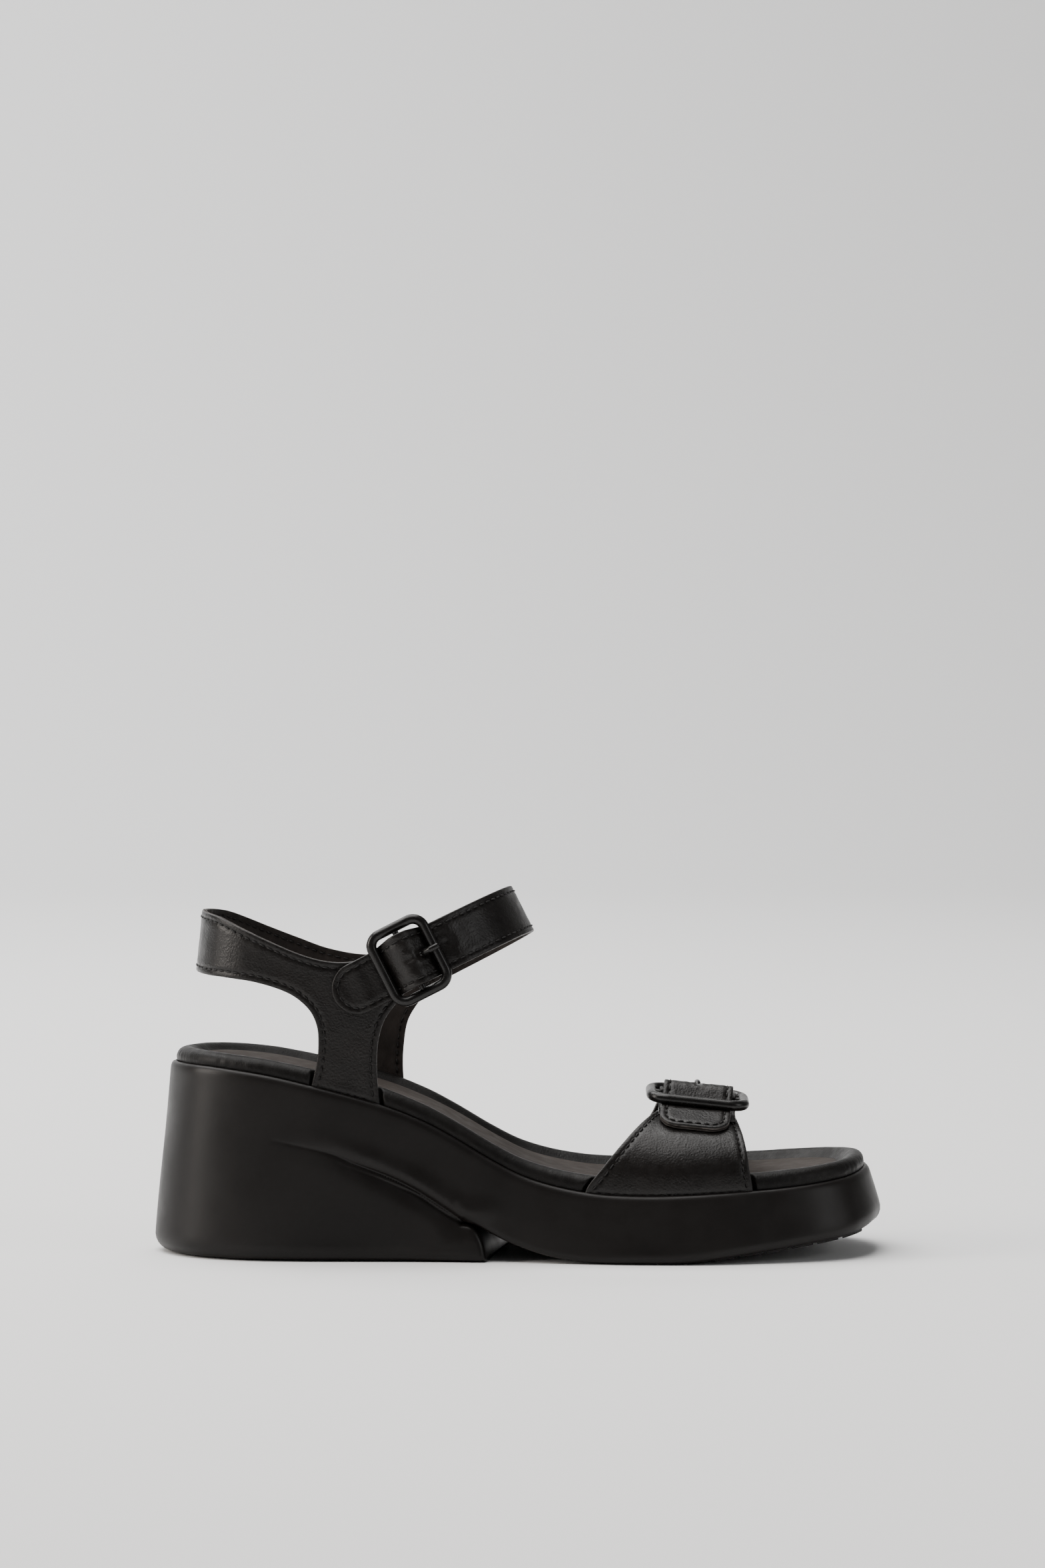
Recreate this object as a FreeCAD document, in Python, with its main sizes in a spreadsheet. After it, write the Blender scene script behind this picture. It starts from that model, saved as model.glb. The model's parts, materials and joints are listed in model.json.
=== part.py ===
import FreeCAD, Part
import math
import os
from FreeCAD import Vector, Placement, Rotation

# Wedge sandal, right foot. +X toe, -Y outer (lateral) side, +Z up, origin on the floor at the centre
# of the sole. Shape tables below are written in "stations": millimetres forward of the heel's back.

doc = FreeCAD.newDocument("wedge_sandal")
sheet = doc.addObject("Spreadsheet::Sheet", "sizes")
SIZES = {
    "sole_length": 255, "sole_width": 94, "loft_height": 72, "floor_relief": 0.4,
    "tray_depth": 3.8, "tray_inset": 1.6, "board_inset": 4.4, "board_thick": 1.8,
    "foam_thick": 2.3, "sock_thick": 0.9, "rim_inset": 1.3, "rim_wide": 9.5, "rim_high": 5.8,
    "flange_wide": 10, "tread_thick": 2.6, "tread_inset": 4, "heel_tread_inset": 6.5,
    "shank_wide": 12, "shank_start": 38, "shank_end": 150, "rivet_radius": 1.8,
    "outer_leather": 1.1, "lining_leather": 0.7, "chape_leather": 0.9, "fit_gap": 0.1,
    "ankle_strap_wide": 17.8, "ankle_rod_radius": 1.75, "ankle_pin_radius": 1.1,
    "ankle_frame_reach": 9.8, "ankle_frame_half": 12.45, "ankle_corner": 4.2, "ankle_prong_radius": 1.1,
    "ankle_loop_radius": 0.75,
    "vamp_strap_wide": 23.6, "vamp_rod_radius": 1.85, "vamp_pin_radius": 1.2,
    "vamp_frame_reach": 10, "vamp_frame_half": 16.15, "vamp_corner": 5.5, "vamp_prong_radius": 1.1,
    "vamp_loop_radius": 0.8,
    "hole_radius": 0.95,
}
for row, (alias, value) in enumerate(SIZES.items(), 1):
    sheet.set("A%d" % row, alias)
    sheet.set("B%d" % row, str(value))
    sheet.setAlias("B%d" % row, alias)
doc.recompute()


def size(alias):
    return float(getattr(sheet, alias))


LENGTH = size("sole_length")
HEEL_X = -LENGTH / 2
LOFT = size("loft_height")
TRAY = size("tray_depth")
RIM = size("rim_high")
OUTER = size("outer_leather")
LINING = size("lining_leather")
STRAP = OUTER + LINING
GAP = size("fit_gap")

# Sole edge seen from the side: station and height of the line where the footbed meets the sole.
TOP_LINE = [(-6, 66.6), (6, 66.5), (21, 66.2), (39, 64.1), (56.6, 60.3), (80.3, 53.9), (93.4, 48.9),
            (104, 43.5), (118, 35.2), (128.5, 29.9), (139, 26.6), (151.3, 24.3), (163.5, 23.4),
            (179.1, 23.4), (205.4, 24.6), (223.2, 25.8), (241.7, 27.8), (250, 29.6), (262, 32.6)]
# Underside of the sole, with the toe spring.
FLOOR_LINE = [(-6, 0.4), (60, 0.4), (120, 0.4), (170, 0.4), (186, 0.7), (205.4, 3), (223.2, 5.3), (241.7, 7.6),
              (250, 9.2), (262, 12.5)]
# Widest outline: station, y, flare (how far it has moved in at loft_height).
OUTLINE = [(255, 6, 17), (253.6, -7, 17), (249, -19.5, 17), (241, -29.5, 17), (229, -37.5, 15),
           (212, -43.5, 14), (190, -46.8, 12.5), (168, -46.2, 11), (146, -43.2, 9), (122, -39.8, 6),
           (98, -38, 4.5), (74, -37.4, 3.6), (50, -36.9, 3.6), (30, -33.6, 4), (14, -25.8, 5.5), (4, -14, 6.8),
           (0, 0, 6.8), (4, 14, 6.8), (14, 25.8, 5.5), (30, 33.4, 4), (50, 36.9, 3.6), (74, 37.4, 3.6),
           (98, 37.6, 4.5), (122, 38.2, 6), (146, 41, 9), (168, 45, 11), (190, 47.2, 12.5), (212, 47, 14),
           (229, 43.8, 15), (241, 37.4, 17), (249.5, 27.8, 17), (253.8, 17.4, 17)]


def smooth(table, x):
    """Height of a smooth curve through a table of (station, height) at one station."""
    i = 0
    while i < len(table) - 2 and x > table[i + 1][0]:
        i += 1
    (x0, y0), (x1, y1) = table[i], table[i + 1]

    def slope(k):
        a, b = table[max(k - 1, 0)], table[min(k + 1, len(table) - 1)]
        return (b[1] - a[1]) / (b[0] - a[0])

    w = x1 - x0
    t = (x - x0) / w
    return ((2 * t**3 - 3 * t**2 + 1) * y0 + (t**3 - 2 * t**2 + t) * w * slope(i)
            + (3 * t**2 - 2 * t**3) * y1 + (t**3 - t**2) * w * slope(i + 1))


def top_line(station):
    return smooth(TOP_LINE, station)


def at(station, y, z):
    """A point given by its station."""
    return Vector(HEEL_X + station, y, z)


def curve(points, closed=False):
    c = Part.BSplineCurve()
    c.interpolate(Points=points, PeriodicFlag=closed)
    return c.toShape()


def closed_wire(points, pieces=8):
    """Closed smooth outline, split into a few edges so that the faces made from it stay simple."""
    c = Part.BSplineCurve()
    c.interpolate(Points=points, PeriodicFlag=True)
    knots = c.getKnots()
    step = len(points) // pieces
    cuts = [knots[k * step] for k in range(pieces)] + [knots[-1]]
    return Part.Wire([c.toShape(a, b) for a, b in zip(cuts, cuts[1:])])


def line(a, b):
    return Part.makeLine(a, b)


def feature(name, shape):
    obj = doc.addObject("Part::Feature", name)
    obj.Shape = shape
    obj.Label = name
    return obj


def inset(points, distance):
    """Moves a closed plan outline inwards, point by point along its normals."""
    out = []
    for i, p in enumerate(points):
        t = points[(i + 1) % len(points)] - points[i - 1]
        n = Vector(t.y, -t.x, 0)
        n.normalize()
        out.append(p - n * distance)
    return out


# ---------------------------------------------------------------- plan outlines
BOTTOM = [at(s, y, 0) for s, y, flare in OUTLINE]
trial = curve(BOTTOM, True).discretize(2000)
low_y, high_y = min(p.y for p in trial), max(p.y for p in trial)
low_x, high_x = min(p.x for p in trial), max(p.x for p in trial)
WIDE = size("sole_width")
BOTTOM = [Vector((p.x - low_x) * LENGTH / (high_x - low_x) + HEEL_X,
                 (p.y - low_y) * (WIDE + 0.4) / (high_y - low_y) - WIDE / 2, 0) for p in BOTTOM]
OUTLINE = [(p.x - HEEL_X, p.y, row[2]) for p, row in zip(BOTTOM, OUTLINE)]
TOP = []
for p, (s, y, flare) in zip(inset(BOTTOM, -1), OUTLINE):
    outward = p - at(s, y, 0)
    if outward.dot(Vector(s - LENGTH / 2, y, 0)) < 0:
        outward = -outward
    TOP.append(at(s, y, 0) - outward * flare)
EDGE = []
for low, high, (s, y, flare) in zip(BOTTOM, TOP, OUTLINE):
    share = min(max(top_line(s), 0), LOFT) / LOFT
    EDGE.append(low + (high - low) * share)
INWARD = 1 if inset(EDGE, 1)[0].x < EDGE[0].x else -1


def plan(distance):
    """Plan outline of the footbed, moved in from the sole's top edge."""
    return inset(EDGE, distance * INWARD)


def extrusion(name, wire, direction, forward, backward="0"):
    base = feature(name + "_wire", wire)
    obj = doc.addObject("Part::Extrusion", name)
    obj.Base = base
    obj.DirMode = "Custom"
    obj.Dir = direction
    obj.Solid = True
    obj.setExpression("LengthFwd", forward)
    obj.setExpression("LengthRev", backward)
    return obj


def prism(name, points):
    return extrusion(name, closed_wire(points), Vector(0, 0, 1), "sizes.loft_height + 30", "5")


STATIONS = [-5 + 265 * i / 44 for i in range(45)]


def slab(name, low, high, reach=(0, 44), base=None):
    """A layer that follows the top line (or another line), between two heights off it, right across."""
    follow = base or top_line
    s = STATIONS[reach[0]:reach[1] + 1]
    lower = [at(x, 0, follow(x) + low) for x in s]
    upper = [at(x, 0, follow(x) + high) for x in s]
    wire = Part.Wire([curve(lower), line(lower[-1], upper[-1]), curve(upper[::-1]), line(upper[0], lower[0])])
    return extrusion(name, wire, Vector(0, 1, 0), "sizes.sole_width", "sizes.sole_width")


def boolean(kind, name, base, tool):
    obj = doc.addObject("Part::" + kind, name)
    obj.Label = name
    obj.Base = base
    obj.Tool = tool
    return obj


def gather(kind, name, shapes):
    obj = doc.addObject("Part::" + kind, name)
    obj.Label = name
    obj.Shapes = shapes
    return obj


def box(name, s0, s1, y0, y1, z0, z1):
    obj = doc.addObject("Part::Box", name)
    obj.Length, obj.Width, obj.Height = s1 - s0, y1 - y0, z1 - z0
    obj.Placement = Placement(at(s0, y0, z0), Rotation())
    return obj


# ---------------------------------------------------------------- sole unit
lowered = [p + (p - q) * (min(max((p.x - HEEL_X - 214) / 30, 0), 1) * 18 / LOFT) for p, q in zip(BOTTOM, TOP)]
feature("bottom_outline", closed_wire(lowered))
lifted = [Vector(p.x, p.y, LOFT) for p in TOP]
feature("upper_outline", closed_wire(lifted))
blank = doc.addObject("Part::Loft", "sole_blank")
blank.Sections = [doc.bottom_outline, doc.upper_outline]
blank.Solid = True
blank.Ruled = True


def floor_line(station):
    return smooth(FLOOR_LINE, station)


# Side profile: underside, rounded toe, top line, back of the heel.
under = [at(x, 0, floor_line(x)) for x in [-5, 30, 60, 90, 120, 150, 170, 186, 196, 206, 216, 226, 236, 244]]
toe = [under[-1], at(249.5, 0, 9.4), at(253.6, 0, 12.2), at(255, 0, 16.5), at(254, 0, 23), at(251.5, 0, 32)]
over = [at(x, 0, top_line(x)) for x in STATIONS if x < 249.5]
over.append(at(251.5, 0, 32))
corner = at(251.5, 0, top_line(251.5))
profile = Part.Wire([curve(under), curve(toe), line(toe[-1], corner), curve([corner] + over[-2::-1]),
                     line(over[0], under[0])])
side = extrusion("sole_side", profile, Vector(0, 1, 0), "sizes.sole_width", "sizes.sole_width")
body = gather("MultiCommon", "sole_body", [blank, side])

# Open arch under the waist. The front of the heel block slants forward towards the inner side.
ARCH_OUTER_SIDE = [(114, -2), (113.1, 5.3), (111.1, 10.4), (108.5, 13.1), (111.6, 13.1), (121.5, 7.8),
                   (129.5, 4.8), (135.5, 2.8), (143, 1.3), (150, 0.6), (156, -2)]
ARCH_INNER_SIDE = [(127.5, -2), (127, 3.4), (126, 5.4), (125, 6.6), (126.2, 6.6), (128, 5.9),
                   (131.5, 4.4), (136, 2.8), (143, 1.3), (150, 0.6), (156, -2)]
arch_sections = []
for y, table in ((-60, ARCH_OUTER_SIDE), (60, ARCH_INNER_SIDE)):
    pts = [at(s, y, z) for s, z in table]
    arch_sections.append(Part.makePolygon(pts + [pts[0]]))
arch = feature("arch_gap", Part.makeLoft(arch_sections, True, True))

# Fold line that runs back from the arch and fades out: a slot in each side, shallower towards the heel.
FOLD = [(123.3, 7.7), (118, 10), (112, 13.1), (107.1, 15.7), (100, 20.0), (91.1, 25.2), (82.2, 29.4),
        (69.8, 34.2), (58, 37.6), (69.8, 33.4), (82.2, 28.0), (91.1, 23.3), (100, 17.5), (107.1, 13.4),
        (112, 11.4), (118, 8.9), (123.3, 6.8)]
fold_points = [at(s, 0, z) for s, z in FOLD]
fold_sheet = extrusion("fold_sheet", Part.makePolygon(fold_points + [fold_points[0]]), Vector(0, 1, 0),
                       "sizes.sole_width", "sizes.sole_width")
fold_reach = []
for side_sign in (-1, 1):
    pts = [at(55, side_sign * 36, -5), at(124, side_sign * 27, -5), at(124, side_sign * 60, -5),
           at(55, side_sign * 60, -5)]
    fold_reach.append(extrusion("fold_reach_%s" % ("outer" if side_sign < 0 else "inner"),
                                Part.makePolygon(pts + [pts[0]]), Vector(0, 0, 1), "sizes.loft_height"))
fold_zone = gather("MultiFuse", "fold_zone", fold_reach)
fold = boolean("Common", "fold_slots", fold_sheet, fold_zone)

tray = gather("MultiCommon", "tray_space", [
    slab("tray_slab", -TRAY, 20), prism("tray_prism", plan(size("tray_inset")))])

# Treads: a plate under the heel block and one under the forefoot, let into pockets in the sole.
TREAD = size("tread_thick")
RELIEF = size("floor_relief")
FLAT_END = 177
sprung = [s for s in STATIONS if s > FLAT_END + 4]
tread_low = [at(FLAT_END, 0, 0)] + [at(s, 0, floor_line(s) - RELIEF) for s in sprung]
tread_high = [p + Vector(0, 0, TREAD) for p in tread_low]
tread_start = [at(140, 0, 0), at(140, 0, TREAD)]
tread_side = extrusion("tread_side", Part.Wire([
    line(tread_start[0], tread_low[0]), curve(tread_low), line(tread_low[-1], tread_high[-1]),
    curve(tread_high[::-1]), line(tread_high[0], tread_start[1]), line(tread_start[1], tread_start[0])]),
    Vector(0, 1, 0), "sizes.sole_width", "sizes.sole_width")
heel_pad = gather("MultiCommon", "heel_pad", [
    prism("heel_tread_prism", inset(BOTTOM, size("heel_tread_inset") * INWARD)),
    box("heel_zone", -2, 108, -60, 60, 0, TREAD)])
front_pad = gather("MultiCommon", "front_pad", [
    tread_side, prism("tread_prism", inset(BOTTOM, size("tread_inset") * INWARD)),
    box("front_zone", 158, 247, -60, 60, -3, 30)])


def grooves(name, pad, s0, s1, step):
    """Cross grooves in the walking face of a tread."""
    bars, s, k = [], s0, 0
    while s < s1:
        bars.append(box("%s_bar_%d" % (name, k), s, s + 1.6, -60, 60, floor_line(s) - 2, floor_line(s) + 0.8))
        s, k = s + step, k + 1
    return boolean("Cut", name, pad, gather("MultiFuse", name + "_bars", bars))


heel_tread = grooves("heel_tread", heel_pad, 14, 104, 9)
forefoot_tread = grooves("forefoot_tread", front_pad, 166, 244, 9)
arched = boolean("Cut", "sole_arched", body, arch)
folded = boolean("Cut", "sole_folded", arched, fold)
with_tray = boolean("Cut", "sole_tray", folded, tray)
with_heel = boolean("Cut", "sole_heel_pocket", with_tray, heel_pad)
wedge = boolean("Cut", "wedge_sole", with_heel, front_pad)

# ---------------------------------------------------------------- inside the footbed
board_prism = prism("board_prism", plan(size("board_inset")))
shank_path = [at(size("shank_start"), 0, 0), at(size("shank_end"), 0, 0)]


def strip(name, half):
    a, b = shank_path
    r = size("shank_wide") / 2
    wire = Part.Wire([line(Vector(a.x, -half, 0), Vector(b.x, -half, 0)),
                      Part.Arc(Vector(b.x, -half, 0), Vector(b.x + half, 0, 0), Vector(b.x, half, 0)).toShape(),
                      line(Vector(b.x, half, 0), Vector(a.x, half, 0)),
                      Part.Arc(Vector(a.x, half, 0), Vector(a.x - half, 0, 0), Vector(a.x, -half, 0)).toShape()])
    return extrusion(name, wire, Vector(0, 0, 1), "sizes.loft_height")


rivets = []
for k, s in enumerate((size("shank_start") + 6, size("shank_end") - 6)):
    rivet = doc.addObject("Part::Cylinder", "rivet_%d" % k)
    rivet.setExpression("Radius", "sizes.rivet_radius")
    rivet.setExpression("Height", "sizes.tray_depth - 1.2")
    rivet.Placement = Placement(at(s, 0, top_line(s) - TRAY + 0.6), Rotation())
    rivets.append(rivet)
shank_rivets = gather("MultiFuse", "shank_rivets", rivets)
shank_strip = gather("MultiCommon", "shank_strip", [
    slab("shank_slab", 0.1 - TRAY, -0.1 - size("board_thick")), strip("shank_stadium", size("shank_wide") / 2)])
shank = boolean("Cut", "steel_shank", shank_strip, shank_rivets)
board = boolean("Cut", "insole_board", gather("MultiCommon", "board_blank", [
    slab("board_slab", -size("board_thick"), 0), board_prism]), shank_rivets)
FLANGE_IN = size("board_inset") + size("flange_wide")
filler = boolean("Cut", "bottom_filler", gather("MultiCommon", "filler_blank", [
    slab("filler_slab", 0.05 - TRAY, -size("board_thick") - 0.05), prism("filler_prism", plan(FLANGE_IN + 0.6))]),
    strip("shank_room", size("shank_wide") / 2 + 0.3))

RIM_IN = size("rim_inset") + size("rim_wide")
inner_prism = prism("inner_prism", plan(RIM_IN + 0.05))
FOAM = size("foam_thick")
foam = gather("MultiCommon", "footbed_foam", [slab("foam_slab", 0, FOAM), inner_prism])
sock = gather("MultiCommon", "sock_lining", [slab("sock_slab", FOAM, FOAM + size("sock_thick")), inner_prism])


# ---------------------------------------------------------------- leather sheets
def offset_path(points, distance, up):
    """Moves an open path sideways, within the plane whose normal is up."""
    out = []
    for i, p in enumerate(points):
        t = points[min(i + 1, len(points) - 1)] - points[max(i - 1, 0)]
        n = t.cross(up)
        n.normalize()
        out.append(p + n * distance)
    return out


def sheet_wire(points, near, far, up):
    a, b = offset_path(points, near, up), offset_path(points, far, up)
    return Part.Wire([curve(a), line(a[-1], b[-1]), curve(b[::-1]), line(b[0], a[0])])


def sheet_solid(points, near, far, up, width):
    """A band of leather: its path, two offsets for its faces, extruded to both sides of the path."""
    face = Part.Face(sheet_wire(points, near, far, up))
    face.translate(up * (-width / 2))
    return face.extrude(up * width)


def outline_prism(edges, y0, y1):
    """Side-view outline made of smooth runs of (station, height) that meet end to end."""
    shapes = []
    for k, run in enumerate(edges):
        pts = [at(s, y0, z) for s, z in run]
        shapes.append(line(pts[0], pts[1]) if len(pts) == 2 else curve(pts))
        nxt = at(edges[(k + 1) % len(edges)][0][0], y0, edges[(k + 1) % len(edges)][0][1])
        if (nxt - pts[-1]).Length > 1e-6:
            shapes.append(line(pts[-1], nxt))
    return Part.Face(Part.Wire(shapes)).extrude(Vector(0, y1 - y0, 0))


# The turned-in strips stop short of the tray's floor, so that they meet their wall part-way up its foot.
TURN_LIFT = 0.12


def layer_solid(low, high, outer_in, inner_in, s0, s1, sign):
    """A turned-in edge: a strip of one layer under the insole board, along one side of the sole."""
    s = [s0 + (s1 - s0) * k / 8 for k in range(9)]
    lower = [at(x, 0, top_line(x) + low + TURN_LIFT) for x in s]
    upper = [at(x, 0, top_line(x) + high) for x in s]
    wire = Part.Wire([curve(lower), line(lower[-1], upper[-1]), curve(upper[::-1]), line(upper[0], lower[0])])
    body_ = Part.Face(wire).extrude(Vector(0, sign * 70, 0))
    ring = []
    for d in (outer_in, inner_in):
        f = Part.Face(closed_wire(plan(d)))
        ring.append(f.extrude(Vector(0, 0, LOFT + 30)))
    return body_.common(ring[0]).cut(ring[1])


LEAN = Vector(0.1, 0, 1)
TUBE = [(122, -28.5), (108, -30.4), (96, -31.1), (84, -31.4), (70, -31.4), (56, -30.9), (44, -29.3),
        (32.4, -25.8), (23.8, -19.4), (18.7, -10.3), (17.2, 0), (18.7, 10.3), (23.8, 19.4), (32.4, 25.8),
        (44, 29.3), (56, 30.9), (70, 31.4),
        (84, 31.4), (96, 31.1), (108, 30.4), (122, 28.5)]
TUBE_LEVEL = 108


def tube(near, far):
    """Upright leather wall round the heel, leaning forward a little."""
    base = [at(s, y, 0) - Vector(LEAN.x * TUBE_LEVEL, 0, 0) for s, y in TUBE]
    face = Part.Face(sheet_wire(base, near, far, Vector(0, 0, 1)))
    return face.extrude(LEAN * 150)


QUARTER_REAR = [(55.2, 40), (55.6, 56), (56.9, 61.9), (58.3, 68), (58.9, 74.1), (58.4, 80.8), (55.6, 86.6),
                (48.9, 91.9), (37.4, 95.6), (25.6, 97.1), (5, 97.8)]
QUARTER_TOP = [(5, 119.4), (18.3, 118.9), (24.5, 117.6), (32, 114.3), (41.8, 109.9), (52, 105.7), (60, 103.4),
               (68, 102.8), (75, 104.2), (82.2, 107.2)]
QUARTER_FRONT = [(89.6, 93.6), (87.2, 90.4), (84, 86.6), (81.2, 82), (79.4, 75), (79, 68), (79.3, 61), (80.4, 54),
                 (81.4, 40)]
MEDIAL_REAR = [(61, 40), (61.4, 56), (62.6, 62), (64, 68), (64.6, 74), (63.6, 81), (60, 87), (52, 92.2),
               (39, 95.8), (26, 97.2), (5, 97.8)]
MEDIAL_TOP = [(5, 119.4), (18.3, 119), (24.5, 117.6), (32, 114.5), (39.2, 111.4), (49.9, 107.1), (60, 103.4),
              (72.5, 101.2), (82, 102.2), (92.5, 106.8)]
MEDIAL_FRONT = [(100, 92.0), (95.6, 88.2), (91.4, 83.2), (88.2, 77.4), (86.8, 69), (86.5, 61), (87.2, 54),
                (88, 40)]


def wall_floor(low):
    """Everything above one layer of the sole's tray, used to trim the foot of a wall."""
    s = [20 + 210 * k / 40 for k in range(41)]
    lower = [at(x, 0, top_line(x) + low) for x in s]
    wire = Part.Wire([curve(lower), line(lower[-1], at(230, 0, 160)), line(at(230, 0, 160), at(20, 0, 160)),
                      line(at(20, 0, 160), lower[0])])
    return Part.Face(wire).extrude(Vector(0, 140, 0)).translated(Vector(0, -70, 0))


BACK_ZONE = Part.makeBox(60, 140, 160, at(-30, -70, 0))


def quarter(near, far, floor_low, flange_low, flange_high, flange_out):
    wall = tube(near, far)
    outer = outline_prism([QUARTER_REAR, QUARTER_TOP, QUARTER_FRONT], -60, 0)
    inner = outline_prism([MEDIAL_REAR, MEDIAL_TOP, MEDIAL_FRONT], 0, 60)
    piece = wall.common(outer).fuse(wall.common(inner)).removeSplitter()
    keep = wall_floor(floor_low).fuse(BACK_ZONE)
    piece = piece.common(keep)
    for sign, s0, s1 in ((-1, 55.8, 80.6), (1, 61.6, 87.2)):
        piece = piece.fuse(layer_solid(flange_low, flange_high, flange_out, FLANGE_IN, s0, s1, sign))
    return piece.removeSplitter()


# Lower faces of the two turned-in layers, and how far in from the sole's edge each begins.
LAYER_LOW = 0.05 - TRAY
SPLIT = LAYER_LOW + OUTER
QUARTER_TURN = (2.85, 3.75)
VAMP_TURN = (2.35, 3.2)
quarter_outer = feature("quarter_outer", quarter(-OUTER, 0, LAYER_LOW, LAYER_LOW, SPLIT, QUARTER_TURN[0]))
quarter_lining = feature("quarter_lining", quarter(0, LINING, SPLIT, SPLIT, SPLIT + LINING, QUARTER_TURN[1]))


# ---------------------------------------------------------------- buckle geometry
PRONG_PLAY = 0.12


def threaded(reach, pin_clear, bar_clear, level):
    """Inner face of a strap through a centre-bar buckle, in (along, out) steps from rear to front."""
    theta = math.asin((pin_clear + bar_clear) / reach)
    pts = []
    for k in range(5):
        a = -0.45 + (theta + 0.45) * k / 4
        pts.append((reach - bar_clear * math.sin(a), level - bar_clear * math.cos(a)))
    for k in range(4):
        a = theta * (1 - k / 4)
        pts.append((pin_clear * math.sin(a), level + pin_clear * math.cos(a)))
    front = pts[::-1]
    rear = [(-a, b) for a, b in pts]
    return rear + [(0, level + pin_clear)] + front


def local_frame(origin, along, out):
    """Placement whose X runs along a strap, Y across it and Z out of it."""
    z = Vector(out)
    z.normalize()
    x = Vector(along) - z * Vector(along).dot(z)
    x.normalize()
    return Placement(origin, Rotation(x, z.cross(x), z, "ZXY"))


def band(frame, path, near, far, width, shift=0):
    """Leather band along a path of (along, out) pairs in a local frame."""
    pts = [Vector(a, 0, n) for a, n in path]
    solid = sheet_solid(pts, near, far, Vector(0, 1, 0), width)
    solid.translate(Vector(0, shift, 0))
    solid.Placement = frame.multiply(solid.Placement)
    return solid


def rounded_end(frame, tip, radius, back, half, deep=60):
    """Keeps everything ahead of a rounded strap end whose tip is at one place along the strap."""
    straight = half - radius
    if straight < 0.01:
        corner = Part.makeCylinder(half, 2 * deep, Vector(tip + half, 0, -deep))
    else:
        corner = Part.makeBox(2 * half, 2 * straight, 2 * deep, Vector(tip, -straight, -deep))
        for w in (-straight, straight):
            corner = corner.fuse(Part.makeCylinder(radius, 2 * deep, Vector(tip + radius, w, -deep)))
    rest = Part.makeBox(back, 4 * half, 2 * deep, Vector(tip + min(radius, half), -2 * half, -deep))
    keep = corner.fuse(rest)
    keep.Placement = frame
    return keep


def pin_frame(name, frame, prefix, level, shift):
    """Buckle frame: four rods with quarter-torus corners, and the centre bar, bound to the sheet."""
    reach, half, corner = (size(prefix + k) for k in ("_frame_reach", "_frame_half", "_corner"))
    parts = []

    def rod(tag, radius, length_expr, place):
        c = doc.addObject("Part::Cylinder", "%s_%s" % (name, tag))
        c.setExpression("Radius", "sizes.%s_%s" % (prefix, radius))
        c.setExpression("Height", length_expr)
        c.Placement = place
        parts.append(c)

    across = Rotation(Vector(0, 0, 1), Vector(0, 1, 0))
    along = Rotation(Vector(0, 0, 1), Vector(1, 0, 0))
    wide = "2 * (sizes.%s_frame_half - sizes.%s_corner)" % (prefix, prefix)
    deep = "2 * (sizes.%s_frame_reach - sizes.%s_corner)" % (prefix, prefix)
    rod("front", "rod_radius", wide, Placement(Vector(reach, corner - half, 0), across))
    rod("rear", "rod_radius", wide, Placement(Vector(-reach, corner - half, 0), across))
    rod("low", "rod_radius", deep, Placement(Vector(corner - reach, -half, 0), along))
    rod("high", "rod_radius", deep, Placement(Vector(corner - reach, half, 0), along))
    rod("pin", "pin_radius", "2 * sizes.%s_frame_half" % prefix, Placement(Vector(0, -half, 0), across))
    for k, (u, w) in enumerate(((1, 1), (-1, 1), (-1, -1), (1, -1))):
        t = doc.addObject("Part::Torus", "%s_corner_%d" % (name, k))
        t.setExpression("Radius1", "sizes.%s_corner" % prefix)
        t.setExpression("Radius2", "sizes.%s_rod_radius" % prefix)
        t.Angle3 = 90
        t.Placement = Placement(Vector(u * (reach - corner), w * (half - corner), 0),
                                Rotation(Vector(0, 0, 1), 90 * k))
        parts.append(t)
    whole = gather("MultiFuse", name, parts)
    whole.Refine = True
    whole.Placement = frame.multiply(Placement(Vector(0, shift, level), Rotation()))
    return whole


def chape_shape(frame, prefix, level, width, slot, leg, shift=0):
    """Leather loop round the centre bar, with a leg that lies on the upper behind it."""
    r0 = size(prefix + "_pin_radius") + GAP
    thick = size("chape_leather")
    r1 = r0 + thick
    ring = Part.makeCylinder(r1, width, Vector(0, -width / 2, level), Vector(0, 1, 0)).cut(
        Part.makeCylinder(r0, width, Vector(0, -width / 2, level), Vector(0, 1, 0)))
    tab = sheet_solid([Vector(a, 0, n) for a, n in leg], 0, thick, Vector(0, 1, 0), width)
    tab = tab.cut(Part.makeCylinder(r0, width, Vector(0, -width / 2, level), Vector(0, 1, 0)))
    whole = ring.fuse(tab)
    window = Part.makeBox(2 * r1 + 2.6, slot, 2 * r1 + 2,
                          Vector(-r1 - 1.2, shift - slot / 2, level - r1 - 1))
    whole = whole.cut(window)
    whole.Placement = frame
    return whole


def prong_shape(prefix, grow=0):
    """Prong: a ring on the centre bar, a low run through the strap and a raised end over the front bar."""
    r, loop = size(prefix + "_prong_radius"), size(prefix + "_loop_radius")
    major = size(prefix + "_pin_radius") + PRONG_PLAY + loop
    reach = size(prefix + "_frame_reach")
    high = size(prefix + "_rod_radius") + r + PRONG_PLAY
    start = Vector(major * 0.8, 0, major * 0.6)
    run = [Vector(reach - 4.7, 0, major * 0.5), Vector(reach - 1.7, 0, high), Vector(reach + 0.7, 0, high - 0.05)]
    shape = Part.makeTorus(major, loop + grow, Vector(0, 0, 0), Vector(0, 1, 0))
    root = Part.makeCone(loop + grow, r + grow, (run[0] - start).Length, start, run[0] - start)
    rods = [Part.makeCylinder(r + grow, (b - a).Length, a, b - a) for a, b in zip(run, run[1:])]
    return shape.fuse([root] + rods + [Part.makeSphere(r + grow, p) for p in run])


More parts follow.
